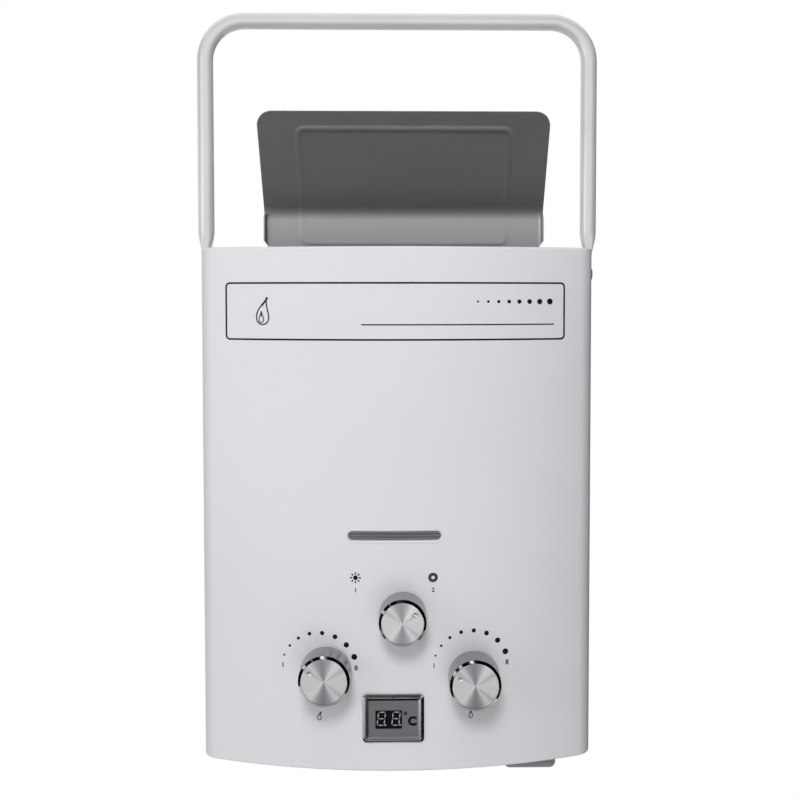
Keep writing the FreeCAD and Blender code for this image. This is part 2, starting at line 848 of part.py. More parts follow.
# ---------------------------------------------------------------- window and display
def flameMesh():
    half = slotTall / 2.0 + meshMargin
    outer = casingPrism(coverSheet + meshGap, coverRear, up(slotHeight) - half,
                        up(slotHeight) + half)
    inner = casingPrism(coverSheet + meshGap + meshSheet, coverRear + throughCut,
                        up(slotHeight) - half - throughCut, up(slotHeight) + half + throughCut)
    left = slotX - slotWidth / 2.0 - meshMargin
    right = slotX + slotWidth / 2.0 + meshMargin
    front = -casingDepth - throughCut
    back = -casingDepth + cornerRadius
    window = box(left, right, front, back, up(slotHeight) - half, up(slotHeight) + half)
    mesh = outer.cut(inner).common(window)
    holes = []
    columns = int(slotWidth / 2.0 / meshPitch)
    rows = int(slotTall / 2.0 / meshPitch)
    for column in range(-columns, columns + 1):
        for row in range(-rows, rows + 1):
            holes.append(rodYAxis(slotX + column * meshPitch, front, back,
                                  up(slotHeight) + row * meshPitch, meshHole))
    return mesh.cut(Part.makeCompound(holes))


def displayFrameY():
    # the bezel's seat just clears the bowed front beside it
    return -(casingDepth + sidePlay)


def displayBezel():
    halfX = displayWidth / 2.0
    halfZ = displayTall / 2.0
    z = up(displayHeight)
    seat = displayFrameY()
    frame = box(displayX - halfX, displayX + halfX, seat, seat - bezelProud, z - halfZ, z + halfZ)
    frame = frame.makeFillet(bezelCorner, verticalTo(frame, Vector(0, 1, 0)))
    rim = []
    for edge in frame.Edges:
        if abs(edge.CenterOfMass.y - (seat - bezelProud)) < 0.01:
            rim.append(edge)
    frame = frame.makeChamfer(bezelChamfer, rim)
    neckX = halfX - bezelRim
    neckZ = halfZ - bezelRim
    neck = box(displayX - neckX, displayX + neckX, seat - bezelProud * 0.5, seat + bezelNeck,
               z - neckZ, z + neckZ)
    pocket = box(displayX - neckX + bezelWall, displayX + neckX - bezelWall,
                 seat - bezelProud - throughCut, seat + bezelNeck + throughCut,
                 z - neckZ + bezelWall, z + neckZ - bezelWall)
    lensSeat = box(displayX - neckX + lensLedge, displayX + neckX - lensLedge,
                   seat - bezelProud - throughCut, seat - lensSeatDepth + lensThick,
                   z - neckZ + lensLedge, z + neckZ - lensLedge)
    return joined([frame, neck]).cut(pocket).cut(lensSeat)


def displayLens():
    halfX = displayWidth / 2.0 - bezelRim - lensLedge - lensPlay
    halfZ = displayTall / 2.0 - bezelRim - lensLedge - lensPlay
    z = up(displayHeight)
    rear = displayFrameY() - lensSeatDepth + lensThick
    return box(displayX - halfX, displayX + halfX, rear - lensThick, rear, z - halfZ, z + halfZ)


def displayBoard():
    z = up(displayHeight)
    front = displayFrameY() + bezelNeck
    back = front + boardThick
    halfX = displayWidth / 2.0 + boardMargin
    halfZ = displayTall / 2.0
    board = box(displayX - halfX, displayX + halfX, front, back, z - halfZ, z + halfZ)
    # a chip on the left half, the cable socket low on the right half
    chip = box(displayX - halfX * 0.6, displayX - halfX * 0.6 + chipWidth, back, back + chipThick,
               z - chipTall / 2.0, z + chipTall / 2.0)
    low = z - halfZ * 0.7
    socket = box(displayX + halfX * 0.2, displayX + halfX * 0.2 + socketWidth, back,
                 back + socketDeep, low, low + socketTall)
    return joined([board, chip, socket])


# ---------------------------------------------------------------- handle
def handleSolid(radius):
    gripZ = pivotZ + handleRise
    legTop = gripZ - handleBend
    legLow = pivotZ + bladeLength + bladeTaper
    straight = legX - handleBend
    parts = []
    for side in (-1.0, 1.0):
        parts.append(rodZ(side * legX, pivotY, legLow, legTop, radius))
        ring = Part.makeTorus(handleBend, radius, Vector(0, 0, 0), Vector(0, -1, 0))
        reach = handleBend + radius + throughCut
        quarter = box(0, side * reach, -reach, reach, 0, reach)
        elbow = ring.common(quarter)
        elbow.translate(Vector(side * straight, pivotY, legTop))
        parts.append(elbow)
    parts.append(rodX(-straight, straight, pivotY, gripZ, radius))
    return joined(parts)


def handleBail():
    hollow = handleSolid(tubeRadius - tubeWall)
    tube = handleSolid(tubeRadius).cut(hollow)
    parts = [tube]
    taperLow = pivotZ + bladeLength
    taperTop = taperLow + bladeTaper
    for side in (-1.0, 1.0):
        x = side * legX
        # both sections start at +Y and run the same way round
        upper = Part.makeCircle(tubeRadius, Vector(x, pivotY, taperTop), Vector(0, 0, 1))
        upper.rotate(Vector(x, pivotY, taperTop), Vector(0, 0, 1), 90.0)
        foot = Vector(x, pivotY, taperLow - taperSink)
        flat = Part.Ellipse(foot + Vector(0, taperFlatWide, 0),
                            foot - Vector(taperFlatThin, 0, 0), foot).toShape()
        taper = Part.makeLoft([Part.Wire(upper), Part.Wire(flat)], True)
        half = bladeThick / 2.0
        blade = box(x - half, x + half, pivotY - bladeWidth / 2.0, pivotY + bladeWidth / 2.0,
                    pivotZ, taperLow)
        rounded = rodX(x - half, x + half, pivotY, pivotZ, bladeWidth / 2.0)
        for end in (-1.0, 1.0):
            edge = Vector(x - bladeThick, pivotY + end * bladeWidth / 2.0, taperLow)
            inward = edge - Vector(0, end * bladeShoulder, 0)
            down = edge - Vector(0, 0, bladeSlope)
            corner = Part.makePolygon([edge, inward, down, edge])
            blade = blade.cut(Part.Face(corner).extrude(Vector(2.0 * bladeThick, 0, 0)))
        parts.append(joined([taper, blade, rounded]))
    bail = joined(parts)
    for side in (-1.0, 1.0):
        x = side * legX
        bail = bail.cut(rodX(x - bladeThick, x + bladeThick, pivotY, pivotZ, pivotPin + pinPlay))
        bail = bail.cut(rodX(x - side * tubeRadius * 1.5, x, pivotY,
                             taperTop + tubeRadius, drainHole))
    return bail


def handleScrews():
    screws = []
    for side in (-1.0, 1.0):
        seat = side * (legX + bladeThick / 2.0 + sidePlay)
        inner = side * (halfWidth - trayInset - traySheet - nutThick - pinTail)
        shank = rodX(inner, seat, pivotY, pivotZ, pivotPin)
        head = Part.makeCylinder(headRadius, headThick, Vector(seat, pivotY, pivotZ),
                                 Vector(side, 0, 0))
        head = head.makeFillet(headThick * 0.6, [edgeFarthest(head, Vector(side, 0, 0))])
        socket = hexPrism(Vector(seat + side * headThick, pivotY, pivotZ), Vector(-side, 0, 0),
                          socketFlats, headThick * socketShare)
        screws.append(joined([shank, head]).cut(socket))
    return Part.makeCompound(screws)


def handleBushes():
    rings = []
    for side in (-1.0, 1.0):
        start = side * halfWidth
        end = start + side * bushLength
        ring = rodX(start, end, pivotY, pivotZ, bushRadius)
        rings.append(ring.cut(rodX(start, end, pivotY, pivotZ, pivotPin + pressFit)))
    return Part.makeCompound(rings)


def handleNuts():
    nuts = []
    for side in (-1.0, 1.0):
        start = side * (halfWidth - trayInset - traySheet)
        nut = hexPrism(Vector(start, pivotY, pivotZ), Vector(-side, 0, 0), nutFlats, nutThick)
        nuts.append(nut.cut(rodX(start, start - side * nutThick, pivotY, pivotZ,
                                 pivotPin + threadPlay)))
    return Part.makeCompound(nuts)


# ---------------------------------------------------------------- burner and exchanger
def frameTube(left, right, back, front, low, high, sheet):
    outer = box(left, right, back, front, low, high)
    inner = box(left + sheet, right - sheet, back - sheet, front + sheet, low - throughCut,
                high + throughCut)
    return outer.cut(inner)


def barCentres():
    first = stackX - barPitch * (barCount - 1) / 2.0
    return [first + barPitch * index for index in range(barCount)]


def burnerFrame():
    frame = frameTube(stackLeft, stackRight, stackBackY, stackFrontY, up(burnerBase),
                      up(chamberBase), stackSheet)
    parts = [frame]
    for y in (stackBackY - railInset, stackFrontY + railInset):
        parts.append(box(stackLeft + stackSheet * 0.5, stackRight - stackSheet * 0.5,
                         y - railDepth / 2.0, y + railDepth / 2.0, up(burnerBase),
                         up(burnerBase + barLift)))
    frame = joined(parts)
    for x in barCentres():
        frame = frame.cut(rodYAxis(x, stackFrontY - stackSheet, stackFrontY + stackSheet,
                                   up(manifoldHeight), nozzleRadius + slipFit))
    return frame


def burnerBars():
    bars = []
    low = up(burnerBase + barLift)
    back = stackBackY - barEnd
    front = stackFrontY + barEnd
    high = low + barHeight
    pitch = (back - front - 2.0 * barEnd) / barSlotCount
    waistLow = low + waistLift
    waistHigh = waistLow + waistTall
    wide = barWidth / 2.0 - barSheet
    narrow = barWaist / 2.0 - barSheet
    for x in barCentres():
        bar = box(x - barWidth / 2.0, x + barWidth / 2.0, back, front, low, high)
        # pressed-in waist below the ports, hollow inside
        for side in (-1.0, 1.0):
            bar = bar.cut(box(x + side * barWaist / 2.0, x + side * barWidth, back, front,
                              waistLow, waistHigh))
        bar = bar.cut(box(x - wide, x + wide, back - barSheet, front + barSheet, low + barSheet,
                          waistLow - barSheet))
        bar = bar.cut(box(x - wide, x + wide, back - barSheet, front + barSheet,
                          waistHigh + barSheet, high - barRoof))
        bar = bar.cut(box(x - narrow, x + narrow, back - barSheet, front + barSheet,
                          waistLow - 2.0 * barSheet, waistHigh + 2.0 * barSheet))
        bar = bar.cut(rodYAxis(x, front, front + 2.0 * barSheet, up(manifoldHeight), mouthRadius))
        for index in range(barSlotCount):
            y = front + barEnd + pitch * (index + 0.5)
            bar = bar.cut(box(x - portWidth / 2.0, x + portWidth / 2.0, y - portLength / 2.0,
                              y + portLength / 2.0, high - portDepth, high))
        bars.append(bar)
    return Part.makeCompound(bars)


def tubeRows():
    return (stackY - tubeRowPitch, stackY, stackY + tubeRowPitch)


def tubeEndX(side):
    # straight tubes reach a little past the shell before the return bends
    return stackX + side * (stackWidth / 2.0 + tubeOverhang)


def combustionShell():
    shell = frameTube(stackLeft, stackRight, stackBackY, stackFrontY, up(chamberBase), up(finTop),
                      stackSheet)
    half = slotWidth / 2.0
    front = stackFrontY - throughCut
    back = stackFrontY + throughCut
    shell = shell.cut(box(slotX - half, slotX + half, front, back, up(slotHeight) - slotTall / 2.0,
                          up(slotHeight) + slotTall / 2.0))
    for y in tubeRows():
        shell = shell.cut(rodX(stackLeft - throughCut, stackRight + throughCut, y, up(tubeHeight),
                               waterTube + pressFit))
    for x in electrodePlaces:
        shell = shell.cut(rodYAxis(x, front, back, up(electrodeHeight), insulatorRadius))
    return shell


def exchangerTubes():
    rows = tubeRows()
    z = up(tubeHeight)
    right = tubeEndX(1.0)
    left = tubeEndX(-1.0)
    bend = tubeRowPitch / 2.0
    edges = []
    edges.append(Part.makeLine(Vector(right, rows[0], z), Vector(left, rows[0], z)))
    edges.append(Part.Arc(Vector(left, rows[0], z), Vector(left - bend, rows[0] + bend, z),
                          Vector(left, rows[1], z)).toShape())
    edges.append(Part.makeLine(Vector(left, rows[1], z), Vector(right, rows[1], z)))
    edges.append(Part.Arc(Vector(right, rows[1], z), Vector(right + bend, rows[1] + bend, z),
                          Vector(right, rows[2], z)).toShape())
    edges.append(Part.makeLine(Vector(right, rows[2], z), Vector(left, rows[2], z)))
    path = Part.Wire(edges)
    return roundBar(path, waterTube).cut(roundBar(path, waterTube - waterTubeWall))


def exchangerFins():
    fins = []
    back = stackBackY - stackSheet - shaftPlay
    front = stackFrontY + stackSheet + shaftPlay
    first = stackX - finPitch * (finCount - 1) / 2.0
    low = up(finTop - finHeight)
    for index in range(finCount):
        x = first + finPitch * index
        fin = box(x - finSheet / 2.0, x + finSheet / 2.0, back, front, low, up(finTop) - 1.0)
        for y in tubeRows():
            fin = fin.cut(rodX(x - finSheet, x + finSheet, y, up(tubeHeight),
                               waterTube + threadPlay))
        fins.append(fin)
    return Part.makeCompound(fins)


def ringWire(left, right, back, front, z):
    return Part.makePolygon([Vector(left, back, z), Vector(right, back, z),
                             Vector(right, front, z), Vector(left, front, z),
                             Vector(left, back, z)])


def flueSolid(inset):
    lower = ringWire(stackLeft + inset, stackRight - inset, stackBackY - inset,
                     stackFrontY + inset, up(finTop))
    halfX = neckWidth / 2.0 - inset
    halfY = neckDepth / 2.0 - inset
    neck = ringWire(stackX - halfX, stackX + halfX, stackY + halfY, stackY - halfY, up(neckStart))
    slope = Part.makeLoft([lower, neck], True, True)
    top = box(stackX - halfX, stackX + halfX, stackY + halfY, stackY - halfY, up(neckStart), topZ)
    return joined([slope, top])


def flueCollector():
    outer = flueSolid(0.0)
    inner = flueSolid(stackSheet)
    return outer.cut(inner)


def stackBrackets():
    channels = []
    half = bracketSpan / 2.0
    for height in (bracketLow, bracketHigh):
        outer = box(stackX - half, stackX + half, trayFront, stackBackY, up(height),
                    up(height + bracketTall))
        inner = box(stackX - half + bracketSheet, stackX + half - bracketSheet,
                    trayFront - bracketSheet, stackBackY - bracketWeb, up(height) - throughCut,
                    up(height + bracketTall) + throughCut)
        channels.append(outer.cut(inner))
    return Part.makeCompound(channels)


def gasManifold():
    low = up(manifoldHeight) - manifoldSize / 2.0
    high = low + manifoldSize
    left = stackLeft + manifoldInset
    right = stackRight - manifoldInset
    wall = manifoldWall
    bar = box(left, right, manifoldBackY, manifoldFrontY, low, high)
    bore = box(left + wall, right - wall, manifoldBackY - wall, manifoldFrontY + wall, low + wall,
               high - wall)
    tabs = []
    for x in (left, right - manifoldTab):
        tabs.append(box(x, x + manifoldTab, stackFrontY, manifoldBackY, low, high))
    shape = joined([bar] + tabs).cut(bore)
    for x in barCentres():
        shape = shape.cut(rodYAxis(x, manifoldBackY, manifoldBackY - 2.0 * wall,
                                   up(manifoldHeight), nozzleBore))
    shape = shape.cut(rodZ(riserX, riserY, low, low + 2.0 * wall, riserRadius - pipeWall))
    shape = shape.cut(rodZ(seasonKnobX, riserY, low, low + 2.0 * wall, seasonPort))
    return shape


def gasNozzles():
    tips = []
    for x in barCentres():
        z = up(manifoldHeight)
        end = stackFrontY + nozzleReach
        stem = rodYAxis(x, manifoldBackY, end, z, nozzleRadius)
        collar = hexPrism(Vector(x, manifoldBackY, z), Vector(0, 1, 0), nozzleFlats, nozzleCollar)
        tip = joined([stem, collar])
        tips.append(tip.cut(rodYAxis(x, manifoldBackY, end, z, nozzleBore)))
    return Part.makeCompound(tips)


def electrode(x, tipDrop):
    z = up(electrodeHeight)
    body = rodYAxis(x, stackFrontY - insulatorOut, stackFrontY + insulatorIn, z, insulatorRadius)
    flange = rodYAxis(x, stackFrontY, stackFrontY - electrodeFlange, z,
                      insulatorRadius + electrodeFlangeRim)
    wire = rodYAxis(x, stackFrontY - wireOut, stackFrontY + wireIn, z, wireRadius)
    tip = rodZ(x, stackFrontY + wireIn - wireRadius, z, z - tipDrop, wireRadius)
    return joined([body, flange, wire, tip])


def sparkElectrode():
    return electrode(electrodePlaces[0], sparkTip)


def flameSensor():
    return electrode(electrodePlaces[1], sensorTip)


def overheatSwitch():
    z = up(switchHeight)
    x = stackX + switchOffset
    front = stackFrontY - switchCup
    cup = rodYAxis(x, stackFrontY, front, z, switchCup)
    half = switchEarTall / 2.0
    flange = box(x - switchEar, x + switchEar, stackFrontY, stackFrontY - switchEarSheet,
                 z - half, z + half)
    parts = [cup, flange]
    for centre in (x - bladeSpread, x + bladeSpread):
        parts.append(box(centre - bladeTerminal / 2.0, centre + bladeTerminal / 2.0, front,
                         front - terminalLength, z - terminalThick / 2.0,
                         z + terminalThick / 2.0))
    return joined(parts)


# ---------------------------------------------------------------- valves
def gasValveBody():
    block = box(gasBodyLeft, gasBodyRight, valveBackY, valveFrontY, up(gasBodyBase),
                up(gasBodyTop))
    block = block.makeFillet(valveCorner, verticalTo(block, Vector(0, 0, 1)))
    noseY = valveFrontY - noseLength
    nose = rodYAxis(gasKnobX, valveFrontY, noseY, up(gasKnobHeight), plugRadius + valveWall)
    shape = joined([block, nose])
    shape = shape.cut(rodYAxis(gasKnobX, noseY, noseY + valveWall, up(gasKnobHeight),
                               shaftRadius + shaftPlay))
    shape = shape.cut(rodYAxis(gasKnobX, noseY + valveWall, valveBackY - valveWall,
                               up(gasKnobHeight), plugRadius + plugPlay))
    # the chamber that the push rod's disc works in, and the rod's guide
    roomRight = gasBodyRight - valveWall
    roomLeft = roomRight - slipFit - rodDiscThick - rodTravel - rodRoomSpare
    shape = shape.cut(rodX(roomRight, roomLeft, rodY, up(rodHeight), rodRoom))
    shape = shape.cut(rodX(roomRight, gasBodyRight, rodY, up(rodHeight), rodRadius + rodPlay))
    shape = shape.cut(rodZ(gasFittingX, rodY, up(gasBodyBase), up(rodHeight), fittingBore))
    shape = shape.cut(rodYAxis(riserX, valveFrontY, rodY, up(riserHeight), riserRadius - pipeWall))
    return shape


def gasValveShaft():
    back = valveBackY - valveWall - plugPlay
    front = valveFrontY - noseLength + valveWall + plugPlay
    plug = rodYAxis(gasKnobX, back, front, up(gasKnobHeight), plugRadius)
    plug = plug.cut(rodX(gasKnobX - plugRadius, gasKnobX + plugRadius, rodY - plugPortInset,
                         up(gasKnobHeight), plugPort))
    shaft = knobShaft(gasKnobX, gasKnobHeight, front)
    return joined([plug, shaft])


def knobShaft(x, height, rear):
    tip = knobBaseY - shaftBite
    shaft = rodYAxis(x, rear, tip, up(height), shaftRadius)
    flat = box(x - shaftRadius, x + shaftRadius, knobBaseY - flatStart, tip,
               up(height) + shaftFlat, up(height) + shaftRadius)
    return shaft.cut(flat)


def solenoidValve():
    x = gasBodyLeft + solenoidRadius + solenoidInset
    base = up(gasBodyTop)
    top = base + solenoidHeight
    can = rodZ(x, rodY, base, top, solenoidRadius)
    flange = rodZ(x, rodY, base, base + solenoidFlange, solenoidRadius + solenoidRim)
    post = rodZ(x, rodY, top, top + solenoidPost, postRadius)
    return joined([can, flange, post])


def seasonBody():
    low = up(seasonKnobHeight) - (manifoldHeight - manifoldSize / 2.0 - seasonKnobHeight)
    high = up(manifoldHeight) - manifoldSize / 2.0
    half = seasonBodyWidth / 2.0
    front = manifoldFrontY
    rear = stackFrontY - slipFit
    block = box(seasonKnobX - half, seasonKnobX + half, rear, front, low, high)
    block = block.cut(rodYAxis(seasonKnobX, front, front + seasonFace, up(seasonKnobHeight),
                               shaftRadius + shaftPlay))
    block = block.cut(rodYAxis(seasonKnobX, front + seasonFace, rear - valveWall,
                               up(seasonKnobHeight), seasonPlugRadius + plugPlay))
    return block.cut(rodZ(seasonKnobX, riserY, up(seasonKnobHeight), high, seasonPort))


def seasonShaft():
    front = manifoldFrontY + seasonFace + plugPlay
    rear = stackFrontY - slipFit - valveWall - plugPlay
    plug = rodYAxis(seasonKnobX, front, rear, up(seasonKnobHeight), seasonPlugRadius)
    shaft = knobShaft(seasonKnobX, seasonKnobHeight, front)
    return joined([plug, shaft])


def gasRiser():
    high = up(manifoldHeight) - manifoldSize / 2.0
    points = [Vector(riserX, valveFrontY, up(riserHeight)), Vector(riserX, riserY, up(riserHeight)),
              Vector(riserX, riserY, high)]
    tube = pipe(points, riserRadius, pipeWall, pipeBend)
    flange = rodYAxis(riserX, valveFrontY, valveFrontY - flangeThick, up(riserHeight),
                      riserRadius + flangeRim)
    flange = flange.cut(rodYAxis(riserX, valveFrontY, valveFrontY - flangeThick, up(riserHeight),
                                 riserRadius - pipeSeat))
    return joined([tube, flange])


def waterValveBody():
    flangeEnd = waterBodyLeft + diaphragmFlange
    block = box(waterBodyLeft + 1.0, waterBodyRight, valveBackY, valveFrontY, up(waterBodyBase),
                up(waterBodyTop))
    block = block.makeFillet(valveCorner, verticalTo(block, Vector(0, 0, 1)))
    flange = rodX(waterBodyLeft, flangeEnd, rodY, up(rodHeight), diaphragmRadius)
    noseY = valveFrontY - noseLength
    nose = rodYAxis(waterKnobX, valveFrontY, noseY, up(waterKnobHeight), waterNose)
    shape = joined([block, flange, nose])
    shape = shape.cut(rodX(waterBodyLeft, flangeEnd, rodY, up(rodHeight), chamberRadius))
    shape = shape.cut(rodYAxis(waterKnobX, noseY, valveFrontY - noseBore, up(waterKnobHeight),
                               shaftRadius + shaftPlay))
    shape = shape.cut(rodYAxis(waterKnobX, valveFrontY - noseBore,
                               valveFrontY + needleLength + needleRoom, up(waterKnobHeight),
                               needleRadius + plugPlay))
    # inlet bore, its branch to the diaphragm, and the way past the needle to the outlet
    shape = shape.cut(rodZ(coldFittingX, rodY, up(waterBodyBase), up(waterKnobHeight),
                           fittingBore - sleeveWall))
    shape = shape.cut(rodX(waterBodyLeft, coldFittingX, rodY, up(rodHeight), branchRadius))
    shape = shape.cut(rodZ(waterKnobX, rodY - plugPortInset, up(waterKnobHeight),
                           up(coldPipeHeight), needleRadius))
    shape = shape.cut(rodX(waterBodyRight, waterKnobX, coldPipeY, up(coldPipeHeight),
                           pipeRadius - pipeWall))
    shape = shape.cut(rodZ(drainX, rodY, up(waterBodyBase), up(waterBodyBase) + drainGrip,
                           drainRadius - drainStep + pressFit))
    return shape


def waterValveShaft():
    return knobShaft(waterKnobX, waterKnobHeight, valveFrontY - noseBore - sidePlay)


def waterNeedle():
    # a pin that the knob's screw drives back and forth in its bore
    front = valveFrontY - noseBore + needleTravel + 2.0 * sidePlay
    back = front + needleLength
    stem = rodYAxis(waterKnobX, front, back, up(waterKnobHeight), needleRadius)
    cone = Part.makeCone(needleRadius, needlePoint, needleCone,
                         Vector(waterKnobX, back, up(waterKnobHeight)), Vector(0, 1, 0))
    return joined([stem, cone])


def diaphragmCover():
    right = waterBodyLeft - diaphragmThick
    left = right - diaphragmCoverLength
    cup = rodX(left, right, rodY, up(rodHeight), diaphragmRadius)
    cup = cup.cut(rodX(left + valveWall, right, rodY, up(rodHeight), chamberRadius))
    return cup.cut(rodX(left, right, rodY, up(rodHeight), rodRadius + rodPlay))


def diaphragm():
    return rodX(waterBodyLeft - diaphragmThick, waterBodyLeft, rodY, up(rodHeight),
                diaphragmRadius - diaphragmRim)


def pushRod():
    plateRight = waterBodyLeft - diaphragmThick - slipFit
    plateLeft = plateRight - rodPlate
    plate = rodX(plateLeft, plateRight, rodY, up(rodHeight), chamberRadius - diaphragmThick)
    discRight = gasBodyRight - valveWall - slipFit
    discLeft = discRight - rodDiscThick
    rod = rodX(discLeft, plateLeft, rodY, up(rodHeight), rodRadius)
    disc = rodX(discLeft, discRight, rodY, up(rodHeight), rodDisc)
    collar = rodX(switchX - rodCollarLength, switchX, rodY, up(rodHeight), rodCollar)
    return joined([plate, rod, disc, collar])


def microswitch():
    # a snap switch on an angle screwed to the gas valve's side
    low = up(rodHeight) + snapLift
    right = switchX - snapGap
    sideY = rodY + snapDeep / 2.0
    case = box(right - snapLength, right, rodY - snapDeep / 2.0, sideY, low, low + snapTall)
    angle = box(gasBodyRight, right, sideY, sideY + angleSheet, low, low + snapTall)
    foot = box(gasBodyRight, gasBodyRight + angleSheet, rodY - angleReach, sideY + angleSheet, low,
               low + angleFoot)
    return joined([case, angle, foot])


def fitting(x, top):
    low = bottomZ - fittingReach
    seat = up(fittingSeat)
    stem = rodZ(x, rodY, low, seat + fittingNut, fittingRadius)
    stem = stem.makeChamfer(fittingChamfer, [edgeFarthest(stem, Vector(0, 0, -1))])
    nut = hexPrism(Vector(x, rodY, seat), Vector(0, 0, 1), fittingFlats, fittingNut)
    sleeve = rodZ(x, rodY, seat, top, fittingRadius - sleeveWall)
    lock = hexPrism(Vector(x, rodY, panelZ), Vector(0, 0, -1), fittingFlats, fittingLock)
    shape = joined([stem, nut, sleeve, lock])
    return shape.cut(rodZ(x, rodY, low, top, fittingBore))


def coldRisePipe():
    x0 = waterBodyRight
    x1 = tubeEndX(1.0) + waterTube + pipeClear
    z = up(coldPipeHeight)
    rowY = tubeRows()[0]
    points = [Vector(x0, coldPipeY, z), Vector(x1, coldPipeY, z),
              Vector(x1, rowY, z + coldPipeSlope),
              Vector(x1, rowY, up(tubeHeight)), Vector(tubeEndX(1.0), rowY, up(tubeHeight))]
    tube = pipe(points, pipeRadius, pipeWall, pipeBend)
    nut = hexPrism(Vector(x0, coldPipeY, z), Vector(1, 0, 0), pipeNutFlats, pipeNut)
    nut = nut.cut(rodX(x0, x0 + pipeNut, coldPipeY, z, pipeRadius - pipeSeat))
    return joined([tube, nut])


def hotPipe():
    rowY = tubeRows()[2]
    base = up(hotPipeHeight)
    x = hotFittingX
    points = [Vector(tubeEndX(-1.0), rowY, up(tubeHeight)), Vector(x, rowY, up(tubeHeight)),
              Vector(x, rowY, up(hotBendHigh)), Vector(x, rodY, up(hotBendLow)),
              Vector(x, rodY, base)]
    tube = pipe(points, pipeRadius, pipeWall, pipeBend)
    nut = hexPrism(Vector(x, rodY, base), Vector(0, 0, 1), hotNutFlats, hotNut)
    nut = nut.cut(rodZ(x, rodY, base, base + hotNut, pipeRadius - pipeSeat))
    return joined([tube, nut])


def drainPlug():
    low = bottomZ - drainLow
    seat = up(waterBodyBase)
    grip = rodZ(drainX, rodY, low, low + drainGrip, drainRadius + drainRim)
    grip = grip.makeFillet(fittingChamfer, [edgeFarthest(grip, Vector(0, 0, -1))])
    reach = drainRadius + drainRim + fluteRadius - fluteBite
    for step in range(drainFlutes):
        angle = 2.0 * math.pi * step / drainFlutes
        grip = grip.cut(rodZ(drainX + reach * math.cos(angle), rodY + reach * math.sin(angle),
                             low, low + drainGrip, fluteRadius))
    stem = rodZ(drainX, rodY, low + drainGrip, seat, drainRadius)
    tail = rodZ(drainX, rodY, seat, seat + drainTail, drainRadius - drainStep)
    return joined([grip, stem, tail])


# ---------------------------------------------------------------- electrics
def pulseIgniter():
    left = -(halfWidth - panelInset - igniterInset)
    right = left + igniterWidth
    front = trayFront - igniterDepth
    low = up(igniterLow)
    shape = box(left, right, trayFront, front, low, low + igniterTall)
    parts = [shape.makeFillet(igniterCorner, verticalTo(shape, Vector(0, 1, 0)))]
    # two high-tension towers and the cable plug
    for index in range(2):
        z = low + towerStart + index * towerPitch
        parts.append(rodYAxis((left + right) / 2.0, front, front - towerLength, z, towerRadius))
    parts.append(box(left + plugInset, right - plugInset, front, front - plugLength,
                     low + plugLow, low + plugLow + plugTall))
    return joined(parts)


def batteryCase():
    high = cellBaseZ + cellCount * cellLength + contactLift + batteryWall
    outer = box(caseLeft, caseRight, caseBackY, caseFrontY, lidTopZ + lidPlay, high)
    outer = outer.makeFillet(caseCorner, verticalTo(outer, Vector(0, 0, 1)))
    half = caseOuter / 2.0 - batteryWall
    inner = box(caseX - half, caseX + half, caseY - half, caseY + half, lidTopZ,
                high - batteryWall)
    inner = inner.makeFillet(pocketCorner, verticalTo(inner, Vector(0, 0, 1)))
    shape = outer.cut(inner)
    # flange that hangs the case on the bottom panel
    flangeLow = panelZ + panelSheet
    rim = caseFlange
    flange = box(caseLeft - rim, caseRight + rim, caseBackY, caseFrontY - rim, flangeLow,
                 flangeLow + rim)
    flange = flange.cut(box(caseLeft + rim, caseRight - rim, caseBackY - rim, caseFrontY + rim,
                            flangeLow, flangeLow + rim))
    ears = []
    half = earWidth / 2.0
    earTop = hingeZ + hingeBarrel + earRise
    earBack = hingeY + hingeBarrel * 0.6
    for side in (-1.0, 1.0):
        x = caseX + side * earSpread
        ears.append(rodX(x - half, x + half, hingeY, hingeZ, hingeBarrel))
        ears.append(box(x - half, x + half, hingeY - hingeBarrel, earBack, hingeZ, earTop))
        ears.append(box(x - half, x + half, caseBackY - 1.0, earBack, lidTopZ + lidPlay, earTop))
    shape = joined([shape, flange] + ears)
    return shape.cut(rodX(caseLeft, caseRight, hingeY, hingeZ, hingePin + threadPlay))


def batteryLid():
    low = lidTopZ - lidThick
    plate = box(caseLeft, caseRight, caseBackY, caseFrontY, low, lidTopZ)
    plate = plate.makeFillet(caseCorner, verticalTo(plate, Vector(0, 0, 1)))
    plate = plate.makeFillet(lidCorner, lowerSideEdges(plate, low))
    plate = plate.cut(rodZ(caseX, caseY, lidTopZ - lidWell, lidTopZ, cellRadius - lidWell))
    half = knuckleWidth / 2.0
    knuckle = rodX(caseX - half, caseX + half, hingeY, hingeZ, hingeBarrel)
    bridge = box(caseX - half, caseX + half, hingeY, caseBackY - batteryWall, hingeZ - hingeBarrel,
                 hingeZ)
    shape = joined([plate, knuckle, bridge])
    room = earWidth / 2.0 + earPlay
    for side in (-1.0, 1.0):
        x = caseX + side * earSpread
        shape = shape.cut(box(x - room, x + room, 0.0, hingeY - hingeBarrel - earPlay, low,
                              lidTopZ))
    grip = box(caseX - fingerWidth / 2.0, caseX + fingerWidth / 2.0, caseFrontY,
               caseFrontY + fingerDeep, low + fingerLow, lidTopZ - fingerDeep)
    shape = shape.cut(grip)
    return shape.cut(rodX(caseLeft, caseRight, hingeY, hingeZ, hingePin + hingePlay))


def lowerSideEdges(shape, low):
    chosen = []
    for edge in shape.Edges:
        bounds = edge.BoundBox
        if abs(bounds.ZMin - low) < 0.01 and abs(bounds.ZMax - low) < 0.01:
            chosen.append(edge)
    return chosen


def lidPin():
    half = hingePinSpan / 2.0
    return rodX(caseX - half, caseX + half, hingeY, hingeZ, hingePin)


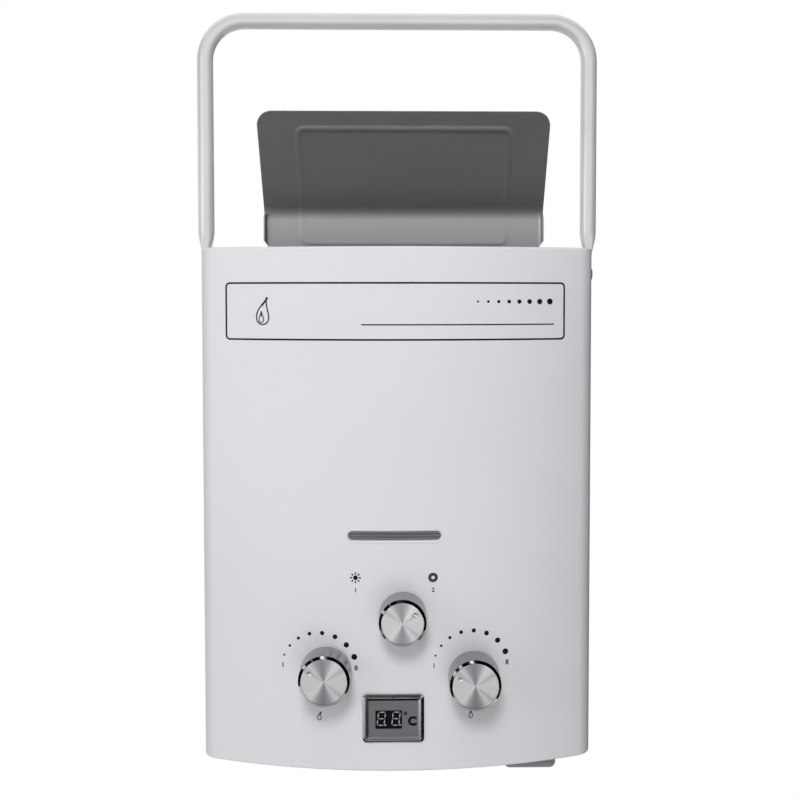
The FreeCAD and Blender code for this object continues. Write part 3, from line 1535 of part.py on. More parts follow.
def lidContact():
    # a plate in the lid's well with a hollow cone that presses on the lower cell
    seat = lidTopZ - lidWell
    base = Vector(caseX, caseY, seat + contactSheet)
    rise = lidWell + contactLift - contactSheet - sidePlay
    plate = rodZ(caseX, caseY, seat, seat + contactSheet, cellRadius - contactEdge)
    cone = Part.makeCone(coneRadius, coneTip, rise, base, Vector(0, 0, 1))
    bore = Part.makeCone(coneRadius - coneWall, coneTip - coneWall, rise, base, Vector(0, 0, 1))
    return joined([plate, cone]).cut(bore)


def topContact():
    high = cellBaseZ + cellCount * cellLength + contactLift
    disc = rodZ(caseX, caseY, high - contactSheet, high, topContactRadius)
    nub = rodZ(caseX, caseY, high - contactLift + sidePlay, high - contactSheet, cellNub)
    return joined([disc, nub])


def batteryCells():
    cells = []
    for index in range(cellCount):
        low = cellBaseZ + index * cellLength
        shoulder = low + cellLength - cellButtonTall
        can = rodZ(caseX, caseY, low, shoulder, cellRadius)
        can = can.makeFillet(cellCorner, [edgeFarthest(can, Vector(0, 0, 1)),
                                          edgeFarthest(can, Vector(0, 0, -1))])
        button = rodZ(caseX, caseY, shoulder, low + cellLength, cellButton)
        cells.append(joined([can, button]))
    return Part.makeCompound(cells)


# ---------------------------------------------------------------- knobs
def knobBody(x, height, radius):
    z = up(height)
    skirt = Part.makeCone(radius, radius - knobTaper, knobLength - knobChamfer,
                          Vector(x, knobBaseY, z), Vector(0, -1, 0))
    ring = Part.makeCone(radius - knobTaper, radius - knobTaper - knobChamfer, knobChamfer,
                         Vector(x, knobFaceY + knobChamfer, z), Vector(0, -1, 0))
    shape = joined([skirt, ring])
    shape = shape.cut(rodYAxis(x, knobFaceY, knobFaceY + capPocket, z, capRadius(radius)))
    hollow = rodYAxis(x, knobBaseY, knobBaseY - knobHollow, z, radius - knobWall)
    hub = rodYAxis(x, knobBaseY, knobBaseY - hubLength, z, shaftRadius + hubWall)
    shape = shape.cut(hollow.cut(hub))
    bore = rodYAxis(x, knobBaseY, knobBaseY - shaftBite - slipFit, z, shaftRadius + pressFit)
    return shape.cut(bore)


def capRadius(radius):
    return radius - capInset


def knobCap(x, height, radius, angle):
    z = up(height)
    face = knobFaceY + capPocket - capThick
    disc = rodYAxis(x, knobFaceY + capPocket, face, z, capRadius(radius) - shaftPlay)
    reach = capRadius(radius) - dimpleInset
    dimpleX = x + reach * math.sin(math.radians(angle))
    dimpleZ = z + reach * math.cos(math.radians(angle))
    return disc.cut(rodYAxis(dimpleX, face, face + dimpleDepth, dimpleZ, dimpleRadius))


def allNodes():
    nodes = {}
    nodes["front_cover"] = frontCover()
    nodes["back_tray"] = backTray()
    nodes["bottom_panel"] = bottomPanel()
    nodes["hanger_bracket"] = hangerBracket()
    nodes["lower_bracket"] = lowerBracket()
    nodes["rain_hood"] = rainHood()
    nodes["hood_screws"] = hoodScrews()
    nodes["cover_screws"] = coverScrews()
    nodes["flame_mesh"] = flameMesh()
    nodes["display_bezel"] = displayBezel()
    nodes["display_lens"] = displayLens()
    nodes["display_board"] = displayBoard()
    nodes["handle_bail"] = handleBail()
    nodes["handle_screws"] = handleScrews()
    nodes["handle_bushes"] = handleBushes()
    nodes["handle_nuts"] = handleNuts()
    nodes["burner_frame"] = burnerFrame()
    nodes["burner_bars"] = burnerBars()
    nodes["combustion_shell"] = combustionShell()
    nodes["exchanger_fins"] = exchangerFins()
    nodes["exchanger_tubes"] = exchangerTubes()
    nodes["flue_collector"] = flueCollector()
    nodes["stack_brackets"] = stackBrackets()
    nodes["gas_manifold"] = gasManifold()
    nodes["gas_nozzles"] = gasNozzles()
    nodes["spark_electrode"] = sparkElectrode()
    nodes["flame_sensor"] = flameSensor()
    nodes["overheat_switch"] = overheatSwitch()
    nodes["gas_valve_body"] = gasValveBody()
    nodes["gas_valve_shaft"] = gasValveShaft()
    nodes["solenoid_valve"] = solenoidValve()
    nodes["season_valve_body"] = seasonBody()
    nodes["season_valve_shaft"] = seasonShaft()
    nodes["gas_riser"] = gasRiser()
    nodes["water_valve_body"] = waterValveBody()
    nodes["water_valve_shaft"] = waterValveShaft()
    nodes["water_needle"] = waterNeedle()
    nodes["diaphragm_cover"] = diaphragmCover()
    nodes["diaphragm"] = diaphragm()
    nodes["push_rod"] = pushRod()
    nodes["microswitch"] = microswitch()
    nodes["gas_inlet_fitting"] = fitting(gasFittingX, up(gasBodyBase))
    nodes["water_inlet_fitting"] = fitting(coldFittingX, up(waterBodyBase))
    nodes["water_outlet_fitting"] = fitting(hotFittingX, up(hotPipeHeight))
    nodes["cold_rise_pipe"] = coldRisePipe()
    nodes["hot_pipe"] = hotPipe()
    nodes["drain_plug"] = drainPlug()
    nodes["pulse_igniter"] = pulseIgniter()
    nodes["battery_case"] = batteryCase()
    nodes["battery_lid"] = batteryLid()
    nodes["battery_lid_pin"] = lidPin()
    nodes["battery_lid_contact"] = lidContact()
    nodes["battery_top_contact"] = topContact()
    nodes["battery_cells"] = batteryCells()
    nodes["gas_knob"] = knobBody(gasKnobX, gasKnobHeight, mainKnobRadius)
    nodes["gas_knob_cap"] = knobCap(gasKnobX, gasKnobHeight, mainKnobRadius, gasDimpleAngle)
    nodes["water_knob"] = knobBody(waterKnobX, waterKnobHeight, mainKnobRadius)
    nodes["water_knob_cap"] = knobCap(waterKnobX, waterKnobHeight, mainKnobRadius,
                                      waterDimpleAngle)
    nodes["season_knob"] = knobBody(seasonKnobX, seasonKnobHeight, seasonKnobRadius)
    nodes["season_knob_cap"] = knobCap(seasonKnobX, seasonKnobHeight, seasonKnobRadius,
                                       seasonDimpleAngle)
    return nodes


def writeParts():
    os.makedirs("parts", exist_ok=True)
    for name, shape in allNodes().items():
        shape.exportStep(os.path.join("parts", name + ".step"))
        print(name, len(shape.Solids), shape.isValid(), round(shape.Volume, 1))


writeParts()
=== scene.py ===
import math
import bmesh
import bpy
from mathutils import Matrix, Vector


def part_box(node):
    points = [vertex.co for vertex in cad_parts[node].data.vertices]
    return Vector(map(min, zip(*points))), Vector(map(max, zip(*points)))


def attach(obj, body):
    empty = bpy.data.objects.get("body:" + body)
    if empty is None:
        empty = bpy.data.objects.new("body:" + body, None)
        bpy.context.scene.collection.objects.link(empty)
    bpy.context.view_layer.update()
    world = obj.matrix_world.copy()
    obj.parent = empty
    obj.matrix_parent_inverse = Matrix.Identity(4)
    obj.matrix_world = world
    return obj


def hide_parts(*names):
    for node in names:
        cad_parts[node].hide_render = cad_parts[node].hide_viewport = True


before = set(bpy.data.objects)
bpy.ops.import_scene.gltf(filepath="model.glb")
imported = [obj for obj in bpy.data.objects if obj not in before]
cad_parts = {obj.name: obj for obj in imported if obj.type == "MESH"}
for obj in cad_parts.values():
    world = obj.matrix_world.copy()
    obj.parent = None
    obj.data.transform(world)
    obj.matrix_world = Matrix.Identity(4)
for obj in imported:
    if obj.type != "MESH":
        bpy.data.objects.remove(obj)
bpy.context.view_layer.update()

mm = 0.001
upright = (math.pi / 2, 0, 0)      # stands a flat drawing up to face the viewer


# small helpers for nodes and edit mode
def linearColour(hexValue):
    parts = [int(hexValue[at:at + 2], 16) / 255 for at in (1, 3, 5)]
    parts = [p / 12.92 if p <= 0.04045 else ((p + 0.055) / 1.055) ** 2.4 for p in parts]
    return (*parts, 1.0)


def addNode(tree, kind, settings=None, values=None, links=None):
    node = tree.nodes.new(kind)
    for name, value in (settings or {}).items():
        setattr(node, name, value)
    for name, value in (values or {}).items():
        node.inputs[name].default_value = value
    fed(node, links or {})
    return node


def fed(node, links):
    for name, socket in links.items():
        node.id_data.links.new(socket, node.inputs[name])


def deselectAll():
    if bpy.context.mode != "OBJECT":
        bpy.ops.object.mode_set(mode="OBJECT")
    bpy.ops.object.select_all(action="DESELECT")


def activate(piece):
    deselectAll()
    piece.select_set(True)
    bpy.context.view_layer.objects.active = piece


def named(name, scale=(1, 1, 1)):
    piece = bpy.context.object
    piece.name = name
    piece.scale = scale
    bpy.ops.object.transform_apply(location=True, rotation=True, scale=True)
    return piece


def editing(piece):
    activate(piece)
    bpy.ops.object.mode_set(mode="EDIT")
    bpy.ops.mesh.select_mode(type="VERT")
    bpy.ops.mesh.select_all(action="SELECT")


def pick(piece, wanted, kind="FACE"):
    # edit mode with only the wanted faces, edges or vertices selected
    if bpy.context.mode != "EDIT_MESH":
        editing(piece)
    bpy.ops.mesh.select_mode(type=kind)
    bpy.ops.mesh.select_all(action="DESELECT")
    net = bmesh.from_edit_mesh(piece.data)
    rows = {"FACE": net.faces, "EDGE": net.edges, "VERT": net.verts}[kind]
    for item in [row for row in rows if wanted(row)]:
        item.select_set(True)
    bmesh.update_edit_mesh(piece.data)


def between(edge):
    return (edge.verts[0].co + edge.verts[1].co) / 2


def near(value, place):
    return abs(value - place) < 0.01 * mm


def inMetres(sizes, *others):
    # lengths are written in millimetres; the named others are counts, angles or ratios
    return {name: size if name in others else size * mm for name, size in sizes.items()}


def extent(node):
    # middle and both corners of a CAD piece
    low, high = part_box(node)
    return [(a + b) / 2 for a, b in zip(low, high)], low, high


def pushOut(step, factor=(1, 1, 1), about=(0, 0, 0)):
    # one more extrusion of what is selected, then a resize about a point
    bpy.ops.mesh.extrude_region_move(TRANSFORM_OT_translate={"value": step})
    if factor != (1, 1, 1):
        bpy.ops.transform.resize(value=factor, center_override=about)


def changed(piece, kind, **settings):
    activate(piece)
    modifier = piece.modifiers.new(kind.lower(), kind)
    for name, value in settings.items():
        setattr(modifier, name, value)
    bpy.ops.object.modifier_apply(modifier=modifier.name)


def cutAway(piece, cutter):
    changed(piece, "BOOLEAN", operation="DIFFERENCE", solver="EXACT", object=cutter)
    bpy.data.objects.remove(cutter)


def smoothed(piece, sharpDegrees):
    # rounded shading up to the given corner, flat faces kept flat
    activate(piece)
    bpy.ops.object.shade_smooth_by_angle(angle=math.radians(sharpDegrees))
    changed(piece, "WEIGHTED_NORMAL", keep_sharp=True)


def outwards(piece):
    editing(piece)
    bpy.ops.mesh.remove_doubles(threshold=0.002 * mm)
    bpy.ops.mesh.normals_make_consistent(inside=False)
    deselectAll()


def finished(piece, finishName, body, slotName, *nodes):
    deselectAll()
    piece.data.materials.clear()
    piece.data.materials.append(finishes[finishName])
    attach(piece, body)
    if nodes:
        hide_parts(*nodes)
    return piece


def merged(pieces, name):
    activate(pieces[0])
    for piece in pieces[1:]:
        piece.select_set(True)
    if len(pieces) > 1:
        bpy.ops.object.join()
    pieces[0].name = name
    return pieces[0]


def turned(name, centre, profile, segments, way="Y"):
    # a round piece; profile holds (distance along -Y or -Z from the centre, radius) in mm
    turn, axis = {"Y": (upright, Vector((0, -1, 0))),
                  "Z": ((math.pi, 0, 0), Vector((0, 0, -1)))}[way]
    start, radius = profile[0]
    deselectAll()
    bpy.ops.mesh.primitive_circle_add(vertices=segments, radius=radius * mm, fill_type="NGON",
                                      location=Vector(centre) + axis * start * mm, rotation=turn)
    piece = named(name)
    editing(piece)
    for (fromAt, fromRadius), (toAt, toRadius) in zip(profile, profile[1:]):
        growth = toRadius / fromRadius
        factor = (growth, 1, growth) if way == "Y" else (growth, growth, 1)
        pushOut(axis * (toAt - fromAt) * mm, factor, centre)
    outwards(piece)
    return piece


def plate(name, centreX, centreZ, width, tall, y, corner=0.0, segments=6):
    # a flat sheet that faces the viewer, its corners rounded
    deselectAll()
    bpy.ops.mesh.primitive_plane_add(size=1, location=(centreX, y, centreZ), rotation=upright)
    piece = named(name, (width, tall, 1))
    if corner:
        editing(piece)
        bpy.ops.mesh.bevel(offset=corner, segments=segments, affect="VERTICES")
        deselectAll()
    return piece


def stretched(piece, centre, length, axis=0, beyond=0.0):
    # parts a shape at its middle, which makes a long one with the same ends
    for side in (-1, 1):
        pick(piece, lambda v: (v.co[axis] - centre) * side > beyond, "VERT")
        step = [0, 0, 0]
        step[axis] = side * length / 2
        bpy.ops.transform.translate(value=step)
        deselectAll()


def hollowed(piece, width, each=False):
    # leaves only a border of each sheet
    editing(piece)
    bpy.ops.mesh.inset(thickness=width, use_individual=each)
    bpy.ops.mesh.delete(type="FACE")
    deselectAll()


def bisected(piece, places, normal=(1, 0, 0)):
    editing(piece)
    for place in places:
        bpy.ops.mesh.select_all(action="SELECT")
        bpy.ops.mesh.bisect(plane_co=Vector(normal) * place, plane_no=normal)
    deselectAll()


def slices(start, first, end):
    # places for cuts, close enough for a flat drawing to follow the bow
    return [start + step * 4 * mm for step in range(first, end)]


# finishes
finishes = {}


def pattern(tree, grain, detail=2.0, stretch=(1, 1, 1)):
    # noise whose grain is given in millimetres
    place = addNode(tree, "ShaderNodeTexCoord")
    scaled = addNode(tree, "ShaderNodeMapping",
                     values={"Scale": [s / (grain * mm) for s in stretch]},
                     links={"Vector": place.outputs["Object"]})
    return addNode(tree, "ShaderNodeTexNoise", values={"Scale": 1.0, "Detail": detail},
                   links={"Vector": scaled.outputs["Vector"]}).outputs["Fac"]


def toned(ramp, stops):
    # colour stops along a ramp: place, tone; gives the colour that comes out
    steps = ramp.color_ramp.elements
    for step, (place, tone) in zip(steps, (stops[0], stops[-1])):
        step.position = place
        step.color = linearColour(tone)
    for place, tone in stops[1:-1]:
        steps.new(place).color = linearColour(tone)
    return ramp.outputs["Color"]


def blank(name, values):
    finish = bpy.data.materials.new(name)
    finish.use_nodes = True
    finishes[name] = finish
    shader = finish.node_tree.nodes["Principled BSDF"]
    for socket, value in values.items():
        shader.inputs[socket].default_value = value
    return finish.node_tree, shader


def skinned(tree, shader, tones, hue, rough, gloss, depth=0.0, relief=None):
    # each pattern drives its own part: hue between the tones, gloss between two values of
    # roughness, and relief in millimetres
    if len(tones) == 2:      # two tones alone shade into each other round the pattern's middle
        tones = list(zip((0.3, 0.7), tones))
    ramp = addNode(tree, "ShaderNodeValToRGB", links={"Fac": hue})
    spread = addNode(tree, "ShaderNodeMapRange", values=dict(zip(("To Min", "To Max"), rough)),
                     links={"Value": gloss})
    fed(shader, {"Base Color": toned(ramp, tones), "Roughness": spread.outputs["Result"]})
    if depth:
        bump = addNode(tree, "ShaderNodeBump", values={"Distance": depth * mm, "Strength": 1.0},
                       links={"Height": relief})
        fed(shader, {"Normal": bump.outputs["Normal"]})


def surface(name, dark, light, rough, cloud, grain, relief=0.0, **more):
    # broad clouds of colour over a fine grain in gloss that also stands out a little, both in
    # millimetres; a grain too fine to show is drawn at 0.3 to 0.8 mm
    values = {key.replace("_", " "): value for key, value in more.items()}
    tree, shader = blank(name, values)
    broad = pattern(tree, cloud)
    fine = pattern(tree, grain, 3.0)
    skinned(tree, shader, (dark, light), broad, rough, fine, relief, fine)


def spangled():
    # hot-dip galvanised sheet: dull crystals a few millimetres across, each its own grey
    tree, shader = blank("galvanisedSheet", {"Metallic": 0.85})
    place = addNode(tree, "ShaderNodeTexCoord")
    cells = addNode(tree, "ShaderNodeTexVoronoi", values={"Scale": 1 / (5 * mm)},
                    links={"Vector": place.outputs["Object"]})
    single = addNode(tree, "ShaderNodeSeparateColor", links={"Color": cells.outputs["Color"]})
    skinned(tree, shader, ("#9b9fa1", "#a8acae"), single.outputs["Red"], (0.38, 0.58),
            single.outputs["Green"], 0.01, pattern(tree, 0.9))


def brushedSteel():
    # cold-rolled stainless sheet, brushed along its width: streaks in gloss and a soft mirror;
    # they are drawn 1.1 mm apart, coarser than real brush marks, so that they show
    tree, shader = blank("brushedStainless", {"Metallic": 0.95, "Anisotropic": 0.3})
    streak = pattern(tree, 1.1, 4.0, (0.02, 1, 1))
    upwards = addNode(tree, "ShaderNodeCombineXYZ", {}, {"Z": 1.0})
    fed(shader, {"Tangent": upwards.outputs["Vector"]})
    skinned(tree, shader, ("#bcbec1", "#c1c3c5"), streak, (0.4, 0.48), streak, 0.002, streak)


# painted reflection: fans of light and shade painted by angle on a lathe-faced disc, where its
# grooves would throw them:
# share of a turn and half width of each; the grooves come every 0.65 mm, coarser than a tool's own
# marks, so that they show
groovesAndPaintedFans = {"pale": "#f4f5f6", "soft": "#d6d7da", "deep": "#a0a2a6", "half": "#bbbdc1",
        "softPaintedFans": (0.1, 0.41, 0.61), "softHalf": 0.035, "deepPaintedFans": (0.235, 0.755),
        "deepHalf": 0.1, "grooves": 320.0}


def spunAluminium():
    # faced on a lathe: fine grooves round the centre in the relief and a radial mirror streak; the
    # fans of light and shade they would throw are painted into the base colour by angle round the
    # centre, a painted reflection
    tree, shader = blank("spunAluminium", {"Metallic": 0.85, "Anisotropic": 0.8})
    around = addNode(tree, "ShaderNodeTangent", {"direction_type": "RADIAL", "axis": "Y"})
    place = addNode(tree, "ShaderNodeTexCoord")
    centred = addNode(tree, "ShaderNodeVectorMath", {"operation": "SUBTRACT"},
                      {1: (0.5, 0.5, 0.5)}, {0: place.outputs["Generated"]})
    faced = addNode(tree, "ShaderNodeMapping", values={"Rotation": upright},
                    links={"Vector": centred.outputs["Vector"]})
    turn = addNode(tree, "ShaderNodeTexGradient", {"gradient_type": "RADIAL"},
                   links={"Vector": faced.outputs["Vector"]})
    # painted reflection: pale, soft, deep and half tones laid round the turn as fans
    paintedReflectionFans = [(0.0, "pale"), (1.0, "pale")]
    for side in (-1, 0, 1):
        paintedReflectionFans += [(at + side * groovesAndPaintedFans["softHalf"], "pale" if side else "soft")
                 for at in groovesAndPaintedFans["softPaintedFans"]]
        paintedReflectionFans += [(at + side * groovesAndPaintedFans["deepHalf"], "pale" if side else "deep")
                 for at in groovesAndPaintedFans["deepPaintedFans"]]
        paintedReflectionFans += [(at + side * groovesAndPaintedFans["deepHalf"] / 2, "half") for at in groovesAndPaintedFans["deepPaintedFans"] if side]
    paintedReflectionFans = [(share, groovesAndPaintedFans[tone]) for share, tone in sorted(paintedReflectionFans)]
    rings = addNode(tree, "ShaderNodeVectorMath", {"operation": "LENGTH"},
                    links={0: faced.outputs["Vector"]})
    spread = addNode(tree, "ShaderNodeMath", {"operation": "MULTIPLY"}, {1: groovesAndPaintedFans["grooves"]},
                     {0: rings.outputs["Value"]})
    grooves = addNode(tree, "ShaderNodeMath", {"operation": "SINE"}, links={0: spread.outputs[0]})
    fed(shader, {"Tangent": around.outputs["Tangent"]})
    skinned(tree, shader, paintedReflectionFans, turn.outputs["Fac"], (0.3, 0.4), pattern(tree, 0.5, 2.0), 0.002,
            grooves.outputs[0])


# polyester powder coat on steel: even white with a faint orange peel and a soft shine
surface("powderCoatWhite", "#e4e5e8", "#e7e8eb", (0.42, 0.5), 140, 1.8, 0.006,
        Specular_IOR_Level=0.35)
# silver-grey powder coat on tube: the same peel, a little more sheen
surface("powderCoatSilver", "#dadbdd", "#dedfe1", (0.27, 0.33), 60, 1.4, 0.002, Metallic=0.18,
        Coat_Weight=0.3, Coat_Roughness=0.16)
brushedSteel()
spangled()
# bright zinc-plated steel: small screws with a bluish shine
surface("zincPlatedSteel", "#b4b8bc", "#c3c6c9", (0.2, 0.32), 8, 0.6, 0.004, Metallic=1.0)
# drawn stainless wire cloth: dull grey wires round dark openings
surface("stainlessWireCloth", "#96989b", "#a2a4a7", (0.35, 0.5), 6, 0.5, Metallic=0.3)
# metallised ABS: silver paint under lacquer, with a hint of flake
surface("silverLacqueredPlastic", "#898b8e", "#8f9194", (0.28, 0.38), 30, 0.5, 0.003,
        Metallic=0.45, Coat_Weight=0.4, Coat_Roughness=0.12)
# diamond-cut chamfer: a bright narrow mirror that shows lamps and dark corners sharply
surface("mirrorCutChrome", "#b9babc", "#c0c1c3", (0.07, 0.1), 12, 0.6, Metallic=1.0)
# bright chrome on moulded plastic
surface("chromedPlastic", "#c2c4c7", "#cacccf", (0.17, 0.24), 12, 0.8, 0.001, Metallic=1.0)
spunAluminium()
# smoked acrylic: flat grey with a glassy face
surface("smokedAcrylic", "#6e7073", "#727477", (0.12, 0.18), 30, 0.8, 0.001, IOR=1.49,
        Coat_Weight=0.5)
# screen-printed ink: flat, slightly chalky black
surface("printedInk", "#0d0e10", "#141517", (0.5, 0.62), 10, 0.4, Specular_IOR_Level=0.2)
# the same ink let down to a grey
surface("printedGreyInk", "#3e4043", "#44464a", (0.5, 0.62), 10, 0.4, Specular_IOR_Level=0.2)
# mask behind the pane: a matt black that sets off the digits
surface("digitMask", "#050506", "#0a0a0b", (0.4, 0.5), 8, 0.4, Specular_IOR_Level=0.15)
# unlit segments: pale grey, flat
surface("digitSegment", "#bfc1c3", "#c8cacb", (0.4, 0.5), 4, 0.3)
# natural nylon: milky off-white with a fine matt moulded skin
surface("mouldedNylon", "#d9d8d2", "#dfded9", (0.42, 0.55), 20, 0.4, 0.006)
# moulded ABS with a spark-eroded skin: matt, faintly grained
surface("mouldedGreyPlastic", "#a3a5a7", "#a8aaac", (0.4, 0.52), 30, 0.45, 0.01)
# the same skin on black housings
surface("mouldedBlackPlastic", "#1f2022", "#262729", (0.4, 0.52), 20, 0.45, 0.008)
# tumbled brass: warm, with a dull bloom
surface("turnedBrass", "#b08d4a", "#c3a25c", (0.25, 0.4), 9, 0.5, 0.004, Metallic=1.0)
# copper tube that has seen heat
surface("drawnCopper", "#a4643f", "#bd7a52", (0.25, 0.42), 14, 0.8, 0.004, Metallic=1.0)
# sand-finish die casting
surface("dieCastAlloy", "#9a9da0", "#a8abad", (0.42, 0.56), 10, 0.7, 0.02, Metallic=0.9)
# drawn tube: soft grey shine with fine marks
surface("drawnAluminium", "#a8abae", "#b5b8bb", (0.25, 0.36), 12, 0.6, 0.003, Metallic=1.0)
# rolled stainless sheet: darker, calm reflections
surface("rolledStainless", "#8b8d90", "#999b9e", (0.25, 0.38), 25, 0.8, 0.004, Metallic=1.0)
# glazed porcelain: cream under a clear gloss
surface("glazedCeramic", "#e8e4da", "#efece4", (0.15, 0.25), 6, 0.5, Coat_Weight=0.4)
# nitrile rubber: soft black with no shine
surface("nitrileRubber", "#1b1b1c", "#232324", (0.6, 0.75), 10, 0.5, 0.01)
# black velvet that swallows light
surface("blackVelvet", "#020202", "#040404", (0.9, 0.95), 40, 1.0, Specular_IOR_Level=0.0)
# grey felt that hands back a little of the light
surface("greyFelt", "#47484a", "#4d4e50", (0.9, 0.95), 40, 1.0, Specular_IOR_Level=0.0)
# solder mask: deep green, half glossy
surface("solderMaskGreen", "#1d4a34", "#235a40", (0.25, 0.4), 8, 1.2, 0.01)
# printed foil round the cells: dark, with a metal glint
surface("printedCellJacket", "#3a3d42", "#44484e", (0.25, 0.35), 15, 0.8, Metallic=0.3)
print("finishes ready", len(finishes))


# cover
cover = inMetres({"bowRadius": 406.0, "cornerRadius": 14.0, "sheet": 1.0, "topRound": 1.8,
                  "footRound": 1.4, "lip": 7.0, "bowSteps": 96, "cornerSteps": 10,
                  "slotCut": 24.0, "paneCut": 8.0, "neckHalfX": 72.6, "neckHalfY": 25.6,
                  "neckY": -53.0, "neckCut": 6.0}, "bowSteps", "cornerSteps")
slot = inMetres({"x": -1.9, "height": 172.0, "width": 68.0, "tall": 7.6, "roll": 0.9,
                 "rollSteps": 6, "depth": 2.6, "sheet": 0.5}, "rollSteps")
low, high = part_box("front_cover")
halfWidth = (high[0] - low[0]) / 2
crownY = low[1]
rearY = high[1]
topZ = high[2]
bottomZ = low[2]
bowCentre = crownY + cover["bowRadius"]
slotX = slot["x"]
slotZ = bottomZ + slot["height"]
slotStraight = slot["width"] - slot["tall"]


def bowY(x):
    # the bowed front's surface at x
    return bowCentre - math.sqrt(cover["bowRadius"] ** 2 - x * x)


def wrapped(piece, lift=0.0):
    # lays a sheet that was drawn at y = 0 on the bowed front, lifted off it by so much
    for vertex in piece.data.vertices:
        vertex.co.y += bowY(vertex.co.x) - lift


def casingOutline():
    # half of the plan outline from the rear, spun round the corner and along the bow
    corner = cover["cornerRadius"]
    cornerX = halfWidth - corner
    cornerY = bowCentre - math.sqrt((cover["bowRadius"] - corner) ** 2 - cornerX ** 2)
    sweep = math.atan2(bowCentre - cornerY, cornerX)
    deselectAll()
    bpy.ops.mesh.primitive_plane_add(size=mm, location=(halfWidth, rearY, bottomZ))
    piece = named("coverShell")
    editing(piece)
    bpy.ops.mesh.merge(type="CENTER")
    pushOut((0, cornerY - rearY, 0))
    for steps, angle, x, y in (("cornerSteps", sweep, cornerX, cornerY),
                               ("bowSteps", math.pi - 2 * sweep, 0, bowCentre),
                               ("cornerSteps", sweep, -cornerX, cornerY)):
        bpy.ops.mesh.spin(steps=cover[steps], angle=angle, axis=(0, 0, 1), center=(x, y, bottomZ))
    pushOut((0, rearY - cornerY, 0))
    bpy.ops.mesh.select_all(action="SELECT")
    bpy.ops.mesh.remove_doubles(threshold=0.01 * mm)
    pick(piece, lambda v: near(v.co.y, rearY), "VERT")
    bpy.ops.mesh.edge_face_add()
    bpy.ops.mesh.select_all(action="SELECT")
    bpy.ops.mesh.edge_face_add()
    return piece


def boxCutter(middle, half):
    deselectAll()
    bpy.ops.mesh.primitive_cube_add(size=2, location=middle)
    return named("cutter", half)


def buildCover():
    piece = casingOutline()
    bpy.ops.mesh.select_mode(type="FACE")
    bpy.ops.mesh.select_all(action="SELECT")
    pushOut((0, 0, topZ - bottomZ))
    outwards(piece)
    pick(piece, lambda f: f.normal.y > 0.9)
    bpy.ops.mesh.delete(type="ONLY_FACE")
    for z, size, segments in ((topZ, "topRound", 5), (bottomZ, "footRound", 4)):
        pick(piece, lambda e: near(between(e).z, z) and between(e).y < rearY - mm, "EDGE")
        bpy.ops.mesh.bevel(offset=cover[size], segments=segments)
    # the inward lip round the foot, open at the rear
    pick(piece, lambda f: f.normal.z < -0.99 and len(f.verts) > 20)
    bpy.ops.mesh.inset(thickness=cover["lip"], use_boundary=True)
    bpy.ops.mesh.delete(type="FACE")
    strip = rearY - cover["lip"]
    pick(piece, lambda f: f.normal.z < -0.99 and f.calc_center_median().y > strip
         and abs(f.calc_center_median().x) < halfWidth / 2)
    bpy.ops.mesh.delete(type="FACE")
    changed(piece, "SOLIDIFY", thickness=cover["sheet"], offset=-1.0, use_even_offset=True)
    # openings for the slot, the display and the neck of the flue
    deselectAll()
    bpy.ops.mesh.primitive_cylinder_add(vertices=64, radius=slot["tall"] / 2 + slot["roll"],
                                        depth=cover["slotCut"], rotation=upright,
                                        location=(slotX, crownY, slotZ))
    cutter = named("cutter")
    stretched(cutter, slotX, slotStraight)
    cutAway(piece, cutter)
    pane, lowPane, highPane = extent("display_lens")
    cutAway(piece, boxCutter((pane[0], crownY, pane[2]),
                             ((highPane[0] - lowPane[0]) / 2 + mm, cover["paneCut"],
                              (highPane[2] - lowPane[2]) / 2 + mm)))
    flueX = extent("flue_collector")[0][0]
    cutAway(piece, boxCutter((flueX, cover["neckY"], topZ),
                             [cover[key] for key in ("neckHalfX", "neckHalfY", "neckCut")]))
    smoothed(piece, 32)
    finished(piece, "powderCoatWhite", "casing", "white_enamel", "front_cover")


def buildSlotLip():
    # the slot's edge is rolled inwards; made round first, then stretched and bowed
    roll = slot["roll"]
    end = slot["tall"] / 2 + roll
    centre = (slotX, 0, slotZ)
    deselectAll()
    bpy.ops.mesh.primitive_circle_add(vertices=64, radius=end, fill_type="NOTHING",
                                      location=centre, rotation=upright)
    piece = named("slotLip")
    editing(piece)
    before = end
    depth = 0.0
    for step in range(1, slot["rollSteps"] + 1):
        angle = math.pi / 2 * step / slot["rollSteps"]
        radius = end - roll * math.sin(angle)
        deeper = roll * (1 - math.cos(angle))
        pushOut((0, deeper - depth, 0), (radius / before, 1, radius / before), centre)
        before = radius
        depth = deeper
    pushOut((0, slot["depth"] - depth, 0))
    stretched(piece, slotX, slotStraight)
    bisected(piece, slices(slotX, -7, 8))
    wrapped(piece)
    changed(piece, "SOLIDIFY", thickness=slot["sheet"], offset=-1.0)
    outwards(piece)
    smoothed(piece, 50)
    finished(piece, "powderCoatWhite", "casing", "white_enamel")


cloth = inMetres({"pitch": 2.1, "wire": 0.26, "columns": 35, "rows": 6, "thick": 0.4,
                  "behind": 1.9}, "columns", "rows")


def buildWindowMesh():
    # wire cloth behind the slot, square openings between flattened wires
    deselectAll()
    bpy.ops.mesh.primitive_grid_add(x_subdivisions=cloth["columns"], y_subdivisions=cloth["rows"],
                                    size=1, location=(slotX, 0, slotZ), rotation=upright)
    piece = named("windowMesh", (cloth["columns"] * cloth["pitch"],
                                 cloth["rows"] * cloth["pitch"], 1))
    hollowed(piece, cloth["wire"], True)
    wrapped(piece, -cloth["behind"])
    changed(piece, "SOLIDIFY", thickness=cloth["thick"], offset=0.0)
    outwards(piece)
    finished(piece, "stainlessWireCloth", "casing", "dark_mesh", "flame_mesh")


buildCover()
buildSlotLip()
buildWindowMesh()
print("cover, slot and wire cloth built")


